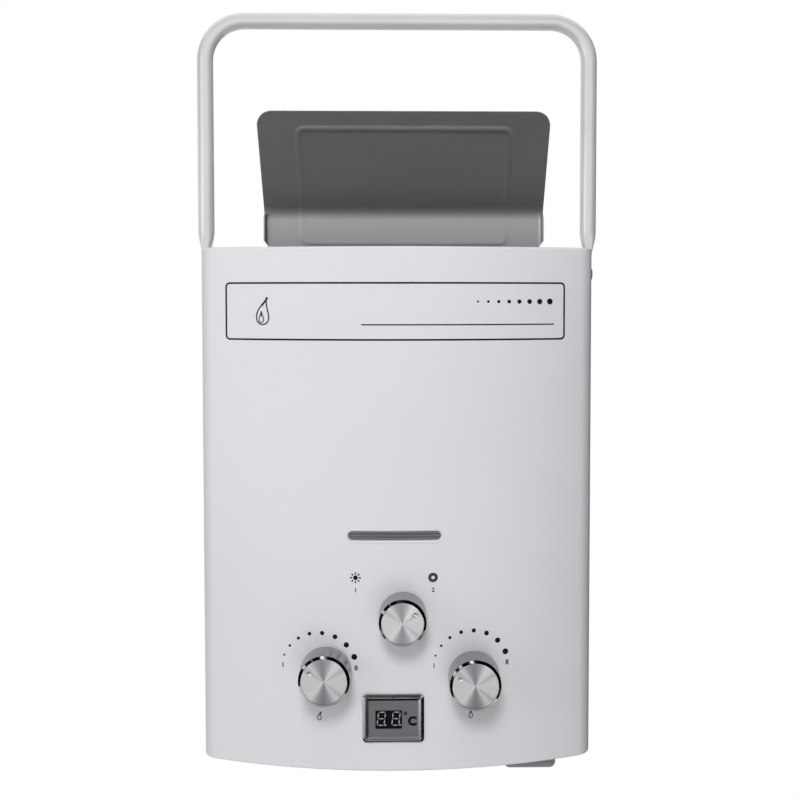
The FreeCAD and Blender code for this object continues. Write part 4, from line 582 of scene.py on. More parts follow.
# rain hood: drawn flat, then bent
hood = inMetres({"sheet": 1.0, "rear": 10.0, "upright": 31.8, "rise": 106.0, "reach": 58.0,
                 "bend": 22.0, "corner": 12.0, "foot": 13.0, "beadSide": 27.0, "beadTop": 11.0,
                 "beadFoot": 4.0, "beadCorner": 9.0, "ear": 5.0, "earSweep": 56.0, "earSteps": 8,
                 "earDeep": 3.0, "earGap": 0.8, "cutTall": 9.5, "bendCuts": 14, "panelCuts": 6},
                "earSweep", "earSteps", "bendCuts", "panelCuts")
bead = inMetres({"wide": 7.6, "high": 0.36, "steps": 12}, "steps")
hoodBox, hoodLow, hoodHigh = extent("rain_hood")
hoodMiddle = hoodBox[0]
hoodHalf = (hoodHigh[0] - hoodLow[0]) / 2
hoodLean = math.atan2(hood["reach"] - hood["rear"], hood["rise"] - hood["upright"])
hoodTangent = hood["bend"] * math.tan(hoodLean / 2)
bendStart = hood["upright"] - hoodTangent
bendEnd = bendStart + hood["bend"] * hoodLean
hoodLength = bendEnd + (hood["rise"] - hood["upright"]) / math.cos(hoodLean) - hoodTangent


def hoodPoint(along, offset):
    # y and z of the hood at a distance along its rear face and off it
    centreY = -hood["rear"] - hood["bend"]
    radius = hood["bend"] - offset
    if along <= bendStart:
        return -hood["rear"] - offset, along
    turn = min(along, bendEnd) - bendStart
    angle = turn / hood["bend"]
    y = centreY + radius * math.cos(angle)
    z = bendStart + radius * math.sin(angle)
    rest = max(0.0, along - bendEnd)
    return y - rest * math.sin(hoodLean), z + rest * math.cos(hoodLean)


def buildHood():
    sheet = hood["sheet"]
    earLine = hood["upright"] - hood["earGap"]
    inner = hoodHalf - hood["ear"]
    outline = plate("hoodSheet", hoodMiddle, (earLine + hoodLength) / 2, 2 * hoodHalf,
                    hoodLength - earLine, 0)
    pick(outline, lambda v: v.co.z > hoodLength / 2, "VERT")
    bpy.ops.mesh.bevel(offset=hood["corner"], segments=10, affect="VERTICES")
    bisected(outline, [hoodMiddle - inner, hoodMiddle + inner])
    pick(outline, lambda e: near(between(e).z, earLine)
         and abs(between(e).x - hoodMiddle) < inner - mm, "EDGE")
    pushOut((0, 0, sheet - earLine))
    bpy.ops.mesh.select_all(action="SELECT")
    bpy.ops.mesh.dissolve_limited(angle_limit=math.radians(1))
    pick(outline, lambda f: True)
    bpy.ops.mesh.delete(type="ONLY_FACE")
    beadTop = hoodLength - hood["beadTop"]
    panel = plate("beadPanel", hoodMiddle, (hood["beadFoot"] + beadTop) / 2,
                  2 * (hoodHalf - hood["beadSide"]), beadTop - hood["beadFoot"], 0,
                  hood["beadCorner"])
    piece = merged([outline, panel], "hoodSheet")
    pick(piece, lambda e: e.is_wire or e.is_boundary, "EDGE")
    bpy.ops.mesh.fill(use_beauty=True)
    # the bead is pressed out in steps round the panel
    bpy.ops.mesh.normals_make_consistent(inside=False)
    pick(piece, lambda f: len(f.verts) > 12)
    reached = 0.0
    for step in range(1, bead["steps"] + 1):
        height = bead["high"] * (0.5 - 0.5 * math.cos(2 * math.pi * step / bead["steps"]))
        bpy.ops.mesh.inset(thickness=bead["wide"] / bead["steps"], depth=0)
        bpy.ops.transform.translate(value=(0, reached - height, 0))
        reached = height
    cuts = [bendStart + (bendEnd - bendStart) * step / hood["bendCuts"]
            for step in range(hood["bendCuts"] + 1)]
    cuts += [bendEnd + (hoodLength - bendEnd) * step / hood["panelCuts"]
             for step in range(1, hood["panelCuts"])]
    bisected(piece, cuts, (0, 0, 1))
    for vertex in piece.data.vertices:
        vertex.co.y, z = hoodPoint(vertex.co.z, sheet - vertex.co.y)
        vertex.co.z = topZ + z
    # side ears turned towards the viewer, and the foot that the screws hold
    front = -hood["rear"] - sheet
    for side in (-1, 1):
        edgeX = hoodMiddle + side * inner
        pick(piece, lambda e: near(between(e).x, edgeX) and e.is_boundary
             and between(e).z < topZ + earLine, "EDGE")
        bpy.ops.mesh.spin(steps=hood["earSteps"], angle=math.radians(hood["earSweep"]),
                          axis=(0, 0, side), center=(edgeX, front - hood["ear"], 0))
        pushOut((0, -hood["earDeep"], 0))
        deselectAll()
    for vertex in piece.data.vertices:
        past = abs(vertex.co.x - hoodMiddle) - inner
        if past > 0.1 * mm and vertex.co.z < topZ + sheet + 0.1 * mm:
            vertex.co.z += hood["cutTall"] * min(1.0, past / hood["ear"])
    pick(piece, lambda e: near(between(e).z, topZ + sheet) and e.is_boundary
         and abs(between(e).x - hoodMiddle) < inner - 0.1 * mm, "EDGE")
    pushOut((0, sheet - hood["foot"], 0))
    bpy.ops.mesh.select_all(action="SELECT")
    bpy.ops.mesh.remove_doubles(threshold=0.01 * mm)
    bpy.ops.mesh.normals_make_consistent(inside=False)
    net = bmesh.from_edit_mesh(piece.data)
    if sum(face.normal.y * face.calc_area() for face in net.faces) > 0:
        bpy.ops.mesh.flip_normals()
    changed(piece, "SOLIDIFY", thickness=sheet, offset=-1.0, use_even_offset=True)
    smoothed(piece, 40)
    finished(piece, "brushedStainless", "casing", "hood_enamel", "rain_hood")


buildHood()
print("rain hood built")


# carrying handle
bail = inMetres({"radius": 6.35, "bend": 31.0, "legX": 151.8, "pivotY": -28.0, "pivotZ": -34.0,
                 "gripZ": 165.0, "bladeLength": 10.0, "taper": 24.0, "bladeHalf": 8.5,
                 "bladeThin": 1.5, "around": 48, "bendSteps": 20, "taperSteps": 10},
                "around", "bendSteps", "taperSteps")


def pressed(point, side):
    # below the taper the tube is flattened into a blade that ends in a half round
    x = point.x - side * bail["legX"]
    y = point.y - bail["pivotY"]
    z = point.z - bail["pivotZ"]
    reach = min(1.0, max(0.0, (bail["bladeLength"] + bail["taper"] - z) / bail["taper"]))
    reach = reach * reach * (3 - 2 * reach)
    angle = math.atan2(y, x)
    power = 2 / (2 + 5 * reach)
    halfX = bail["radius"] + (bail["bladeThin"] - bail["radius"]) * reach
    halfY = bail["radius"] + (bail["bladeHalf"] - bail["radius"]) * reach
    if z < 0:
        halfY = math.sqrt(max(0.0, bail["bladeHalf"] ** 2 - z * z))
    x = math.copysign(abs(math.cos(angle)) ** power, math.cos(angle)) * halfX
    y = math.copysign(abs(math.sin(angle)) ** power, math.sin(angle)) * halfY
    return Vector((x + side * bail["legX"], y + bail["pivotY"], point.z))


def buildBail():
    legX = bail["legX"]
    y = bail["pivotY"]
    taperTop = bail["pivotZ"] + bail["bladeLength"] + bail["taper"]
    legTop = bail["gripZ"] - bail["bend"]
    straight = legX - bail["bend"]
    deselectAll()
    bpy.ops.mesh.primitive_circle_add(vertices=bail["around"], radius=bail["radius"],
                                      fill_type="NOTHING", location=(legX, y, taperTop))
    piece = named("bailTube")
    editing(piece)
    pushOut((0, 0, legTop - taperTop))
    bpy.ops.mesh.spin(steps=bail["bendSteps"], angle=math.pi / 2, axis=(0, 1, 0),
                      center=(straight, y, legTop))
    pushOut((-2 * straight, 0, 0))
    bpy.ops.mesh.spin(steps=bail["bendSteps"], angle=math.pi / 2, axis=(0, 1, 0),
                      center=(-straight, y, legTop))
    pushOut((0, 0, taperTop - legTop))
    steps = bail["taperSteps"]
    pivotDepth = bail["taper"] + bail["bladeLength"]
    depths = [bail["taper"] * step / steps for step in range(1, steps + 1)] + [pivotDepth]
    depths += [pivotDepth + bail["bladeHalf"] * math.sin(math.pi / 2 * step / steps)
               for step in range(1, steps)]
    for side in (-1, 1):
        pick(piece, lambda e: near(between(e).z, taperTop) and between(e).x * side > 0
             and e.is_boundary, "EDGE")
        before = 0.0
        for depth in depths:
            pushOut((0, 0, before - depth))
            before = depth
        bpy.ops.mesh.edge_face_add()
        deselectAll()
    for vertex in piece.data.vertices:
        if vertex.co.z < taperTop - 0.01 * mm:
            vertex.co = pressed(vertex.co, math.copysign(1, vertex.co.x))
    outwards(piece)
    smoothed(piece, 45)
    finished(piece, "powderCoatSilver", "handle", "handle_enamel", "handle_bail")


buildBail()
print("carrying handle built")


# knobs
knob = {"length": 21.0, "taper": 0.3, "chamfer": 1.9, "capEdge": 0.3, "capProud": 0.15,
        "dimple": 1.7, "dimpleDepth": 0.6, "dimpleInset": 4.4, "sides": 128}      # in millimetres
# radius, and where the dimple stands, in degrees from the top
knobs = {"gas": (18.6, -60), "water": (18.6, -66), "season": (17.15, 54)}


def buildKnob(kind, radius, angle):
    middle, lowSide, highSide = extent(kind + "_knob")
    centre = (middle[0], highSide[1], middle[2])
    body = kind + "_control"
    # sections from the panel outwards: distance, radius
    length = knob["length"]
    lip = radius - knob["taper"]
    inner = lip - knob["chamfer"]
    start = length - knob["chamfer"]
    skirt = turned(kind + "KnobSkirt", centre,
                   [(0, radius - 0.5), (0.15, radius - 0.15), (0.5, radius),
                    (start - 0.35, lip), (start - 0.1, lip - 0.12), (start, lip - 0.35),
                    (start - 0.8, lip - 2.0)], knob["sides"])
    smoothed(skirt, 40)
    finished(skirt, "silverLacqueredPlastic", body, "knob_silver", kind + "_knob")
    ring = turned(kind + "KnobRing", centre,
                  [(start - 0.7, lip - 0.6), (start - 0.05, lip - 0.3), (start + 0.1, lip - 0.12),
                   (start + 0.35, lip - 0.1), (length - 0.25, inner + 0.3),
                   (length - 0.08, inner + 0.1), (length - 0.1, inner - 0.05),
                   (length - 0.9, inner - 0.1)], knob["sides"])
    smoothed(ring, 30)
    finished(ring, "mirrorCutChrome", body, "knob_silver")
    face = length - knob["capProud"]
    cap = turned(kind + "KnobCap", centre,
                 [(length - 0.9, inner - 0.15), (face - knob["capEdge"], inner - 0.15),
                  (face - 0.08, inner - 0.22), (face, inner - 0.45)], knob["sides"])
    reach = inner - knob["dimpleInset"]
    x = centre[0] + reach * math.sin(math.radians(angle)) * mm
    z = centre[2] + reach * math.cos(math.radians(angle)) * mm
    dish = knob["dimpleDepth"]
    ball = (knob["dimple"] ** 2 + dish ** 2) / (2 * dish)
    deselectAll()
    bpy.ops.mesh.primitive_uv_sphere_add(segments=48, ring_count=24, radius=ball * mm,
                                         location=(x, centre[1] - (face + ball - dish) * mm, z))
    cutAway(cap, named("cutter"))
    smoothed(cap, 25)
    finished(cap, "spunAluminium", body, "spun_cap", kind + "_knob_cap")


for kind, (radius, angle) in knobs.items():
    buildKnob(kind, radius, angle)
print("knobs built")


# display
display = inMetres({"corner": 3.0, "paneInset": 0.2, "digitX": -6.3, "digitHeight": 38.7,
                    "digitWidth": 19.2, "digitTall": 13.4, "numeralTall": 9.6,
                    "numeralWidth": 5.0, "stroke": 0.72, "segmentGap": 0.2, "slant": 0.12,
                    "firstX": -11.6, "secondX": -1.0, "numeralZ": 39.4, "pointSize": 0.55,
                    "pointDrop": 4.7, "pointOut": 3.5, "degreeX": 5.9, "degreeHeight": 43.2,
                    "degreeOuter": 1.2, "degreeInner": 0.45, "unitX": 7.7, "unitHeight": 34.6,
                    "unitTall": 6.1, "markThick": 0.08, "paneCorner": 0.8, "paneEdge": 0.2,
                    "maskCorner": 0.6, "maskLift": 0.05, "digitLift": 0.12, "frameBack": 1.2,
                    "frameInner": 1.6}, "slant")
# the bezel's section from its outer edge inwards: width, rise
bezelSlope = [(0.15, 0.15), (1.5, 0.75), (0.25, 0.35), (0.3, 0.19), (0.35, 0.0), (0.3, -0.19),
              (1.45, -0.8), (0.12, -0.25)]
bezelProud = 2.4
bezelSide = 0.4          # share of its height that stands upright


def buildBezel():
    middle, lowSide, highSide = extent("display_bezel")
    seat = crownY - 0.1 * mm
    width = highSide[0] - lowSide[0]
    tall = highSide[2] - lowSide[2]
    proud = seat - lowSide[1]
    piece = plate("bezelFrame", middle[0], middle[2], width, tall, seat + display["frameBack"],
                  display["corner"], 8)
    editing(piece)
    pushOut((0, -display["frameBack"] - proud * bezelSide, 0))
    for inward, rise in bezelSlope:
        bpy.ops.mesh.inset(thickness=inward * mm, depth=0)
        bpy.ops.transform.translate(value=(0, -rise * proud / bezelProud, 0))
    pushOut((0, display["frameInner"], 0))
    bpy.ops.mesh.delete(type="FACE")
    # the back is opened and its rim joined to the front's
    pick(piece, lambda f: f.normal.y > 0.9 and f.calc_area() > 400 * mm * mm)
    bpy.ops.mesh.delete(type="FACE")
    pick(piece, lambda e: e.is_boundary, "EDGE")
    bpy.ops.mesh.bridge_edge_loops()
    outwards(piece)
    smoothed(piece, 28)
    finished(piece, "chromedPlastic", "casing", "bright_bezel", "display_bezel")


def flatMark(name, finishName, piece, y, slotName="black_plastic"):
    # gives a flat drawing at y = 0 its thickness and its place
    changed(piece, "SOLIDIFY", thickness=display["markThick"], offset=0.0)
    outwards(piece)
    for vertex in piece.data.vertices:
        vertex.co.y += y
    piece.name = name
    finished(piece, finishName, "casing", slotName)


def bar(length, width, centreX, centreZ, tall):
    # a lozenge pulled long: one segment of a numeral
    piece = disc(width / 2, 0, 0, 4)
    stretched(piece, 0, length - width, 2 if tall else 0, width / 4)
    for vertex in piece.data.vertices:
        vertex.co += Vector((centreX, 0, centreZ))
    return piece


def numeral(centreX, centreZ):
    tall = display["numeralTall"]
    wide = display["numeralWidth"]
    stroke = display["stroke"]
    gap = display["segmentGap"]
    pieces = [bar(wide - gap, stroke, 0, step * tall / 2, False) for step in (-1, 0, 1)]
    for side in (-1, 1):
        for level in (-1, 1):
            pieces.append(bar(tall / 2 - gap, stroke, side * wide / 2, level * tall / 4, True))
    pieces.append(disc(display["pointSize"], display["pointOut"], -display["pointDrop"]))
    whole = merged(pieces, "numeral")
    for vertex in whole.data.vertices:
        vertex.co.x += centreX + vertex.co.z * display["slant"]
        vertex.co.z += centreZ
    return whole


def disc(radius, x, z, vertices=32):
    deselectAll()
    bpy.ops.mesh.primitive_circle_add(vertices=vertices, radius=radius, fill_type="NGON",
                                      location=(x, 0, z), rotation=upright)
    return named("disc")


def ring(outer, inner, x, z):
    piece = disc(outer, x, z, 48)
    hollowed(piece, outer - inner)
    return piece


capitalShare = 0.7          # how much of the type's size a capital fills


def lettered(text, tall, x, z, bold=0.03, centred=True):
    deselectAll()
    bpy.ops.object.text_add()
    words = bpy.context.object
    words.data.body = text
    words.data.size = tall / capitalShare
    words.data.align_x = "CENTER" if centred else "LEFT"
    words.data.resolution_u = 6
    words.data.offset = tall * bold
    bpy.ops.object.convert(target="MESH")
    piece = bpy.context.object
    piece.rotation_euler = upright
    piece.location = (x, 0, z - tall / 2)
    return named("figure")


def buildDisplay():
    middle, lowSide, highSide = extent("display_lens")
    inset = display["paneInset"]
    pane = plate("smokedPane", middle[0], middle[2], highSide[0] - lowSide[0] - inset,
                 highSide[2] - lowSide[2] - inset, highSide[1], display["paneCorner"], 4)
    editing(pane)
    pushOut((0, lowSide[1] - highSide[1], 0))
    outwards(pane)
    pick(pane, lambda e: near(between(e).y, lowSide[1]), "EDGE")
    bpy.ops.mesh.bevel(offset=display["paneEdge"], segments=3)
    smoothed(pane, 40)
    finished(pane, "smokedAcrylic", "casing", "display_window", "display_lens")
    front = lowSide[1]
    mask = plate("digitMask", display["digitX"], bottomZ + display["digitHeight"],
                 display["digitWidth"], display["digitTall"], 0, display["maskCorner"], 4)
    flatMark("digitMask", "digitMask", mask, front - display["maskLift"])
    numerals = [numeral(display[key], bottomZ + display["numeralZ"])
                for key in ("firstX", "secondX")]
    flatMark("digitSegments", "digitSegment", merged(numerals, "numerals"),
             front - display["digitLift"], slotName="display_window")
    unit = merged([ring(display["degreeOuter"], display["degreeInner"],
                        display["degreeX"], bottomZ + display["degreeHeight"]),
                   lettered("C", display["unitTall"], display["unitX"],
                            bottomZ + display["unitHeight"] + display["unitTall"] / 2,
                            0.08, False)], "unit")
    flatMark("unitMark", "printedInk", unit, front - display["maskLift"])


buildBezel()
buildDisplay()
print("display built")


# printed marks, drawn flat and laid on the bowed front
dials = {"gas": (-56.6, 73.2), "water": (53.3, 74.4)}      # centre across and above the foot
dial = inMetres({"radius": 27.7, "first": -68.4, "step": 17.1, "growth": 0.75, "count": 8,
                 "smallest": 0.75, "largest": 2.15, "figureOut": 26.8, "figureUp": 2.9,
                 "figureTall": 3.5, "signDrop": 33.5, "signTall": 6.4, "signLine": 0.55,
                 "flameLean": 0.55}, "first", "step", "growth", "count", "flameLean")
season = inMetres({"starX": -30.1, "ringX": 25.8, "height": 141.8, "figureHeight": 132.9,
                   "figureTall": 3.0, "core": 1.7, "rayFrom": 2.35, "rayTo": 3.9, "rayWide": 1.0,
                   "ringOuter": 3.5, "ringInner": 1.3})
label = inMetres({"left": -125.0, "right": 122.8, "top": -41.5, "foot": -83.4, "corner": 3.4,
                  "line": 1.25, "signX": -97.0, "signTall": 20.0, "signLine": 0.9,
                  "signLean": 0.5, "coreX": -98.0, "coreTall": 8.4, "coreLine": 0.7,
                  "coreDrop": 4.2, "ruleLeft": -25.6, "ruleRight": 114.5, "ruleZ": -72.0,
                  "ruleLine": 0.9, "dotZ": -55.5, "dotLeft": 58.0, "dotPitch": 7.6}, "signLean")
ink = inMetres({"lift": 0.06, "thick": 0.05})


def printed(pieces, name, finishName="printedInk"):
    piece = merged(pieces, name)
    wrapped(piece, ink["lift"])
    changed(piece, "SOLIDIFY", thickness=ink["thick"], offset=0.0)
    outwards(piece)
    finished(piece, finishName, "casing", "black_plastic")


def dotSize(index):
    return dial["smallest"] + (dial["largest"] - dial["smallest"]) * index / (dial["count"] - 1)


# shares of a drop's height, and how sharp its point is
drop = {"sides": 48, "sharpness": 1.6, "width": 0.36, "leanFrom": 0.1}


def dropShape(x, z, tall, lean, line):
    # a disc drawn out to an outlined drop; with some lean its point bends over like a flame
    piece = disc(tall / 2, 0, 0, drop["sides"])
    for vertex in piece.data.vertices:
        rise = vertex.co.z
        turn = math.atan2(vertex.co.x, rise)
        across = math.sin(turn) * abs(math.sin(turn / 2)) ** drop["sharpness"] * drop["width"]
        bend = lean * max(0.0, rise / tall + drop["leanFrom"]) ** 2
        vertex.co = (x + (across + bend) * tall, 0, z + rise)
    hollowed(piece, line)
    return piece


def buildDial(kind):
    x = dials[kind][0] * mm
    z = bottomZ + dials[kind][1] * mm
    dots = []
    for index in range(dial["count"]):
        angle = math.radians(dial["first"] + index * dial["step"]
                             + dial["growth"] * index * (index - 1) / 2)
        dots.append(disc(dotSize(index), x + dial["radius"] * math.sin(angle),
                         z + dial["radius"] * math.cos(angle)))
    printed(dots, kind + "DialDots")
    figures = [lettered(text, dial["figureTall"], x + side * dial["figureOut"],
                        z + dial["figureUp"]) for side, text in ((-1, "1"), (1, "8"))]
    printed(figures, kind + "DialFigures")
    lean = dial["flameLean"] if kind == "gas" else 0.0
    sign = dropShape(x, z - dial["signDrop"], dial["signTall"], lean, dial["signLine"])
    printed([sign], kind + "DialSign")


def buildSeasonMarks():
    z = bottomZ + season["height"]
    x = season["starX"]
    marks = [disc(season["core"], x, z)]
    for turn in range(8):
        ray = plate("ray", 0, (season["rayFrom"] + season["rayTo"]) / 2,
                    season["rayWide"], season["rayTo"] - season["rayFrom"], 0)
        activate(ray)
        bpy.ops.transform.rotate(value=math.pi / 4 * turn, orient_axis="Y",
                                 center_override=(0, 0, 0))
        bpy.ops.transform.translate(value=(x, 0, z))
        bpy.ops.object.transform_apply(location=True, rotation=True, scale=True)
        marks.append(ray)
    printed(marks, "seasonStar")
    printed([ring(season["ringOuter"], season["ringInner"], season["ringX"], z)],
            "seasonRing", "printedGreyInk")
    figureZ = bottomZ + season["figureHeight"]
    figures = [lettered(text, season["figureTall"], season[key], figureZ)
               for key, text in (("starX", "1"), ("ringX", "2"))]
    printed(figures, "seasonFigures")


def buildLabel():
    middle = (label["right"] + label["left"]) / 2
    z = (label["top"] + label["foot"]) / 2
    frameLine = plate("labelFrame", middle, z, label["right"] - label["left"],
                      label["top"] - label["foot"], 0, label["corner"], 8)
    hollowed(frameLine, label["line"])
    bisected(frameLine, slices(middle, -31, 32))
    printed([frameLine], "labelFrame")
    rule = plate("labelRule", (label["ruleLeft"] + label["ruleRight"]) / 2, label["ruleZ"],
                 label["ruleRight"] - label["ruleLeft"], label["ruleLine"], 0)
    bisected(rule, slices(label["ruleLeft"], 1, 35))
    dots = [disc(dotSize(index), label["dotLeft"] + index * label["dotPitch"], label["dotZ"])
            for index in range(dial["count"])]
    printed([rule] + dots, "labelRule")
    # a flame with its pale core
    printed([dropShape(label["signX"], z, label["signTall"], label["signLean"], label["signLine"]),
             dropShape(label["coreX"], z - label["coreDrop"], label["coreTall"], 0.0,
                       label["coreLine"])], "labelSign")


for kind in dials:
    buildDial(kind)
buildSeasonMarks()
buildLabel()
print("printed marks laid on the cover")


# threaded fittings under the casing
fitting = {"crest": 10.48, "root": 9.3, "pitch": 1.814, "bore": 6.0, "reach": 20.0, "nut": 13.86,
           "lockThick": 4.0, "nutThick": 5.0, "panel": 2.2, "sleeve": 8.98, "nutEdge": 1.1,
           "runIn": 0.2, "runOut": 1.2, "endPlain": 1.0, "endChamfer": 0.9, "boreChamfer": 0.5,
           "lockUp": 1.0}      # in millimetres
# one turn of thread: share of the pitch, radius
threadForm = ((0.12, "root"), (0.45, "crest"), (0.58, "crest"), (0.9, "root"))


def hexNut(centre, radius, thick):
    deselectAll()
    bpy.ops.mesh.primitive_cylinder_add(vertices=6, radius=radius * mm, depth=thick * mm,
                                        location=centre, rotation=(0, 0, math.pi / 6))
    piece = named("nut")
    deselectAll()
    bpy.ops.mesh.primitive_cylinder_add(vertices=96, radius=radius * mm, depth=thick * mm,
                                        location=centre)
    chamfer = named("chamfer")
    editing(chamfer)
    pick(chamfer, lambda e: near(abs(between(e).z - centre[2]), thick / 2 * mm), "EDGE")
    bpy.ops.mesh.bevel(offset=fitting["nutEdge"] * mm, segments=1)
    changed(piece, "BOOLEAN", operation="INTERSECT", solver="EXACT", object=chamfer)
    bpy.data.objects.remove(chamfer)
    return piece


def buildFitting(node):
    middle, lowSide, highSide = extent(node)
    x, y = middle[:2]
    top = highSide[2]
    length = (top - lowSide[2]) / mm
    threadStart = (top - bottomZ) / mm - fitting["panel"] - fitting["nutThick"]
    profile = [(0, fitting["bore"]), (0, fitting["sleeve"]), (threadStart, fitting["sleeve"]),
               (threadStart + fitting["runIn"], fitting["root"])]
    at = threadStart + 2 * fitting["runIn"]
    while at + fitting["pitch"] < length - fitting["runOut"]:
        profile += [(at + share * fitting["pitch"], fitting[key]) for share, key in threadForm]
        at += fitting["pitch"]
    profile += [(length - fitting["endPlain"], fitting["root"]),
                (length, fitting["root"] - fitting["endChamfer"]),
                (length, fitting["bore"] + fitting["boreChamfer"]),
                (length - fitting["boreChamfer"], fitting["bore"]),
                (length - fitting["reach"], fitting["bore"])]
    body = turned(node + "Thread", (x, y, top), profile, 72, "Z")
    nuts = [hexNut((x, y, bottomZ + (fitting["lockUp"] - fitting["lockThick"] / 2) * mm),
                   fitting["nut"], fitting["lockThick"]),
            hexNut((x, y, bottomZ + (fitting["panel"] + fitting["nutThick"] / 2) * mm),
                   fitting["nut"], fitting["nutThick"])]
    piece = merged([body] + nuts, node + "Thread")
    smoothed(piece, 28)
    finished(piece, "turnedBrass", "casing", "brass", node)


for node in ("gas_inlet_fitting", "water_inlet_fitting", "water_outlet_fitting"):
    buildFitting(node)
print("fittings built")


# pieces whose CAD shape is right: round ones are merged and shaded round
def faired(node, finishName, body, slotName):
    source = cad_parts[node]
    piece = bpy.data.objects.new(node + "Fair", source.data.copy())
    bpy.context.collection.objects.link(piece)
    editing(piece)
    bpy.ops.mesh.remove_doubles(threshold=0.005 * mm)
    smoothed(piece, 30)
    finished(piece, finishName, body, slotName, node)


roundNodes = {
    "hood_screws": ("zincPlatedSteel", "casing", "screw_steel"),
    "cover_screws": ("zincPlatedSteel", "casing", "screw_steel"),
    "handle_screws": ("zincPlatedSteel", "casing", "screw_steel"),
    "handle_bushes": ("mouldedNylon", "casing", "nylon"),
    "hanger_bracket": ("galvanisedSheet", "casing", "zinc_sheet"),
    "lower_bracket": ("galvanisedSheet", "casing", "zinc_sheet"),
    "drain_plug": ("turnedBrass", "casing", "brass"),
    "battery_case": ("mouldedGreyPlastic", "casing", "grey_plastic"),
    "battery_lid": ("mouldedGreyPlastic", "battery_door", "grey_plastic"),
    "battery_lid_pin": ("zincPlatedSteel", "casing", "screw_steel"),
}
for node, (finishName, body, slotName) in roundNodes.items():
    faired(node, finishName, body, slotName)

keptNodes = {
    "galvanisedSheet": ["back_tray", "bottom_panel", "stack_brackets"],
    "rolledStainless": ["burner_frame", "burner_bars", "flue_collector", "combustion_shell"],
    "zincPlatedSteel": ["handle_nuts", "battery_lid_contact", "battery_top_contact",
                        "overheat_switch", "water_needle", "push_rod"],
    "drawnCopper": ["exchanger_fins", "exchanger_tubes", "cold_rise_pipe", "hot_pipe"],
    "turnedBrass": ["gas_nozzles", "gas_valve_shaft", "season_valve_shaft", "water_valve_shaft",
                    "water_valve_body", "solenoid_valve"],
    "dieCastAlloy": ["gas_valve_body", "season_valve_body", "diaphragm_cover", "gas_manifold"],
    "drawnAluminium": ["gas_riser"],
    "glazedCeramic": ["spark_electrode", "flame_sensor"],
    "solderMaskGreen": ["display_board"],
    "mouldedBlackPlastic": ["pulse_igniter", "microswitch"],
    "nitrileRubber": ["diaphragm"],
    "printedCellJacket": ["battery_cells"],
}
for finishName, nodes in keptNodes.items():
    for node in nodes:
        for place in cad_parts[node].material_slots:
            place.material = finishes[finishName]
print("CAD pieces finished")


# floor, light and camera
stage = {"floorZ": -1.15, "floorSize": 12.0, "fadeFrom": 0.2, "fadeTo": 0.8, "fill": 0.29}
# place, aim, size, power, whether polished metal sees it
lamps = {"keyLamp": ((-0.16, -1.75, 1.15), (0, -0.06, -0.15), 0.6, 21.0, False),
         "fillLamp": ((1.5, -1.3, 0.1), (0, -0.06, -0.15), 1.0, 0.45, True),
         "topLamp": ((-0.15, -0.75, 1.4), (0, -0.06, -0.2), 0.6, 3.0, True),
         "stripLamp": ((-1.35, -1.15, 0.05), (0, -0.06, -0.2), 0.6, 2.8, True),
         "lowLamp": ((0.3, -1.3, -0.95), (0, -0.06, -0.4), 0.8, 3.0, False)}
# place, turn, width, height, fabric, whether it also shades
flags = {"overhead": ((0, -1.9, 1.48), (90, 0, 0), 3.2, 1.34),
         "foreground": ((0, -1.15, -1.1), (0, 0, 0), 3.0, 2.0),
         "roof": ((0, -0.06, -0.0135), (0, 0, 0), 0.285, 0.112, "greyFelt"),
         "edge": ((0.225, -0.14, -0.25), (0, 90, 0), 0.5, 0.17, "blackVelvet", True),
         "behind": ((1.1, 0.6, -0.1), (90, 0, -61), 2.0, 2.2),
         "ceiling": ((0, -0.75, 1.3), (0, 0, 0), 3.0, 1.1),
         "leftLow": ((-1.3, -0.15, -0.51), (0, 90, 0), 0.98, 0.9),
         "leftHigh": ((-1.3, -0.3, 0.62), (0, 90, 0), 0.8, 1.2),
         "rightHand": ((1.3, -0.45, 0.15), (0, 90, 0), 2.5, 1.5)}


def whiteForSight(tree):
    # 1 for what the camera, a mirror or glass sees, 0 for light that falls on the object
    path = addNode(tree, "ShaderNodeLightPath")
    seen = path.outputs["Is Camera Ray"]
    for kind in ("Is Glossy Ray", "Is Transmission Ray"):
        seen = addNode(tree, "ShaderNodeMath", {"operation": "MAXIMUM"},
                       links={0: seen, 1: path.outputs[kind]}).outputs[0]
    return seen


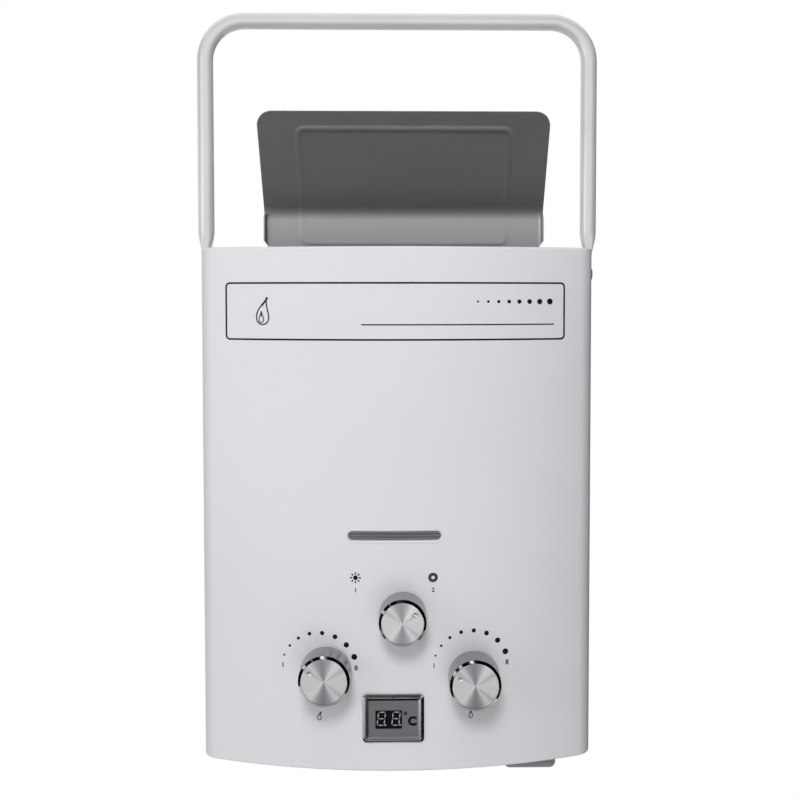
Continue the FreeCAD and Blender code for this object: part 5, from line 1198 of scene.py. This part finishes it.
def buildFloor():
    deselectAll()
    bpy.ops.mesh.primitive_circle_add(vertices=64, radius=stage["floorSize"], fill_type="NGON",
                                      location=(0, 0, stage["floorZ"]))
    floor = named("floor")
    tree, shader = blank("paleFloor", {"Roughness": 0.8, "Base Color": linearColour("#e9eaeb")})
    place = addNode(tree, "ShaderNodeTexCoord")
    flat = addNode(tree, "ShaderNodeMapping", values={"Scale": (1, 1, 0)},
                   links={"Vector": place.outputs["Object"]})
    away = addNode(tree, "ShaderNodeVectorMath", {"operation": "LENGTH"},
                   links={0: flat.outputs["Vector"]})
    fade = addNode(tree, "ShaderNodeMapRange",
                   values={"From Min": stage["fadeFrom"], "From Max": stage["fadeTo"]},
                   links={"Value": away.outputs["Value"]})
    share = addNode(tree, "ShaderNodeMath", {"operation": "MULTIPLY"},
                    links={0: fade.outputs["Result"], 1: whiteForSight(tree)})
    glow = addNode(tree, "ShaderNodeEmission", values={"Color": (1, 1, 1, 1), "Strength": 1.0})
    mix = addNode(tree, "ShaderNodeMixShader",
                  links={"Fac": share.outputs[0], 1: shader.outputs["BSDF"],
                         2: glow.outputs["Emission"]})
    fed(tree.nodes["Material Output"], {"Surface": mix.outputs["Shader"]})
    floor.data.materials.append(finishes["paleFloor"])


def buildWorld():
    world = bpy.data.worlds.new("paleStudio")
    bpy.context.scene.world = world
    world.use_nodes = True
    tree = world.node_tree
    back = tree.nodes["Background"]
    back.inputs["Color"].default_value = (1, 1, 1, 1)
    level = addNode(tree, "ShaderNodeMapRange", values={"To Min": stage["fill"], "To Max": 1.0},
                    links={"Value": whiteForSight(tree)})
    fed(back, {"Strength": level.outputs["Result"]})


def softLamp(name, place, aim, size, power, mirrored):
    deselectAll()
    bpy.ops.object.light_add(type="AREA", location=place)
    lamp = bpy.context.object
    lamp.name = name
    lamp.data.size = size
    lamp.data.energy = power
    lamp.visible_glossy = mirrored
    lamp.rotation_euler = (Vector(aim) - Vector(place)).to_track_quat("-Z", "Y").to_euler()


def hangFlag(name, place, turn, width, tall, fabric="blackVelvet", shading=False):
    # cloth on a frame, hung where only polished metal sees it unless it also shades
    deselectAll()
    bpy.ops.mesh.primitive_plane_add(size=1, location=place,
                                     rotation=[math.radians(angle) for angle in turn])
    flag = named(name + "Flag", (width, tall, 1))
    flag.data.materials.append(finishes[fabric])
    flag.visible_camera = False
    flag.visible_diffuse = shading
    flag.visible_shadow = shading
    flag.visible_transmission = False


camera = {"place": (0.00568, -0.8706, -0.0514), "pitch": 2.386, "yaw": 1.072, "lens": 47.41,
          "shiftX": -0.0308, "shiftY": -0.0753}


def buildCamera():
    deselectAll()
    bpy.ops.object.camera_add(location=camera["place"],
                              rotation=(math.radians(90 - camera["pitch"]), 0,
                                        -math.radians(camera["yaw"])))
    eye = bpy.context.object
    eye.data.lens = camera["lens"]
    eye.data.sensor_width = 36
    eye.data.shift_x = camera["shiftX"]
    eye.data.shift_y = camera["shiftY"]
    bpy.context.scene.camera = eye


buildFloor()
buildWorld()
for name, setting in lamps.items():
    softLamp(name, *setting)
for name, setting in flags.items():
    hangFlag(name, *setting)
buildCamera()
bpy.context.scene.view_settings.view_transform = "Standard"
print("floor, lamps and camera set")
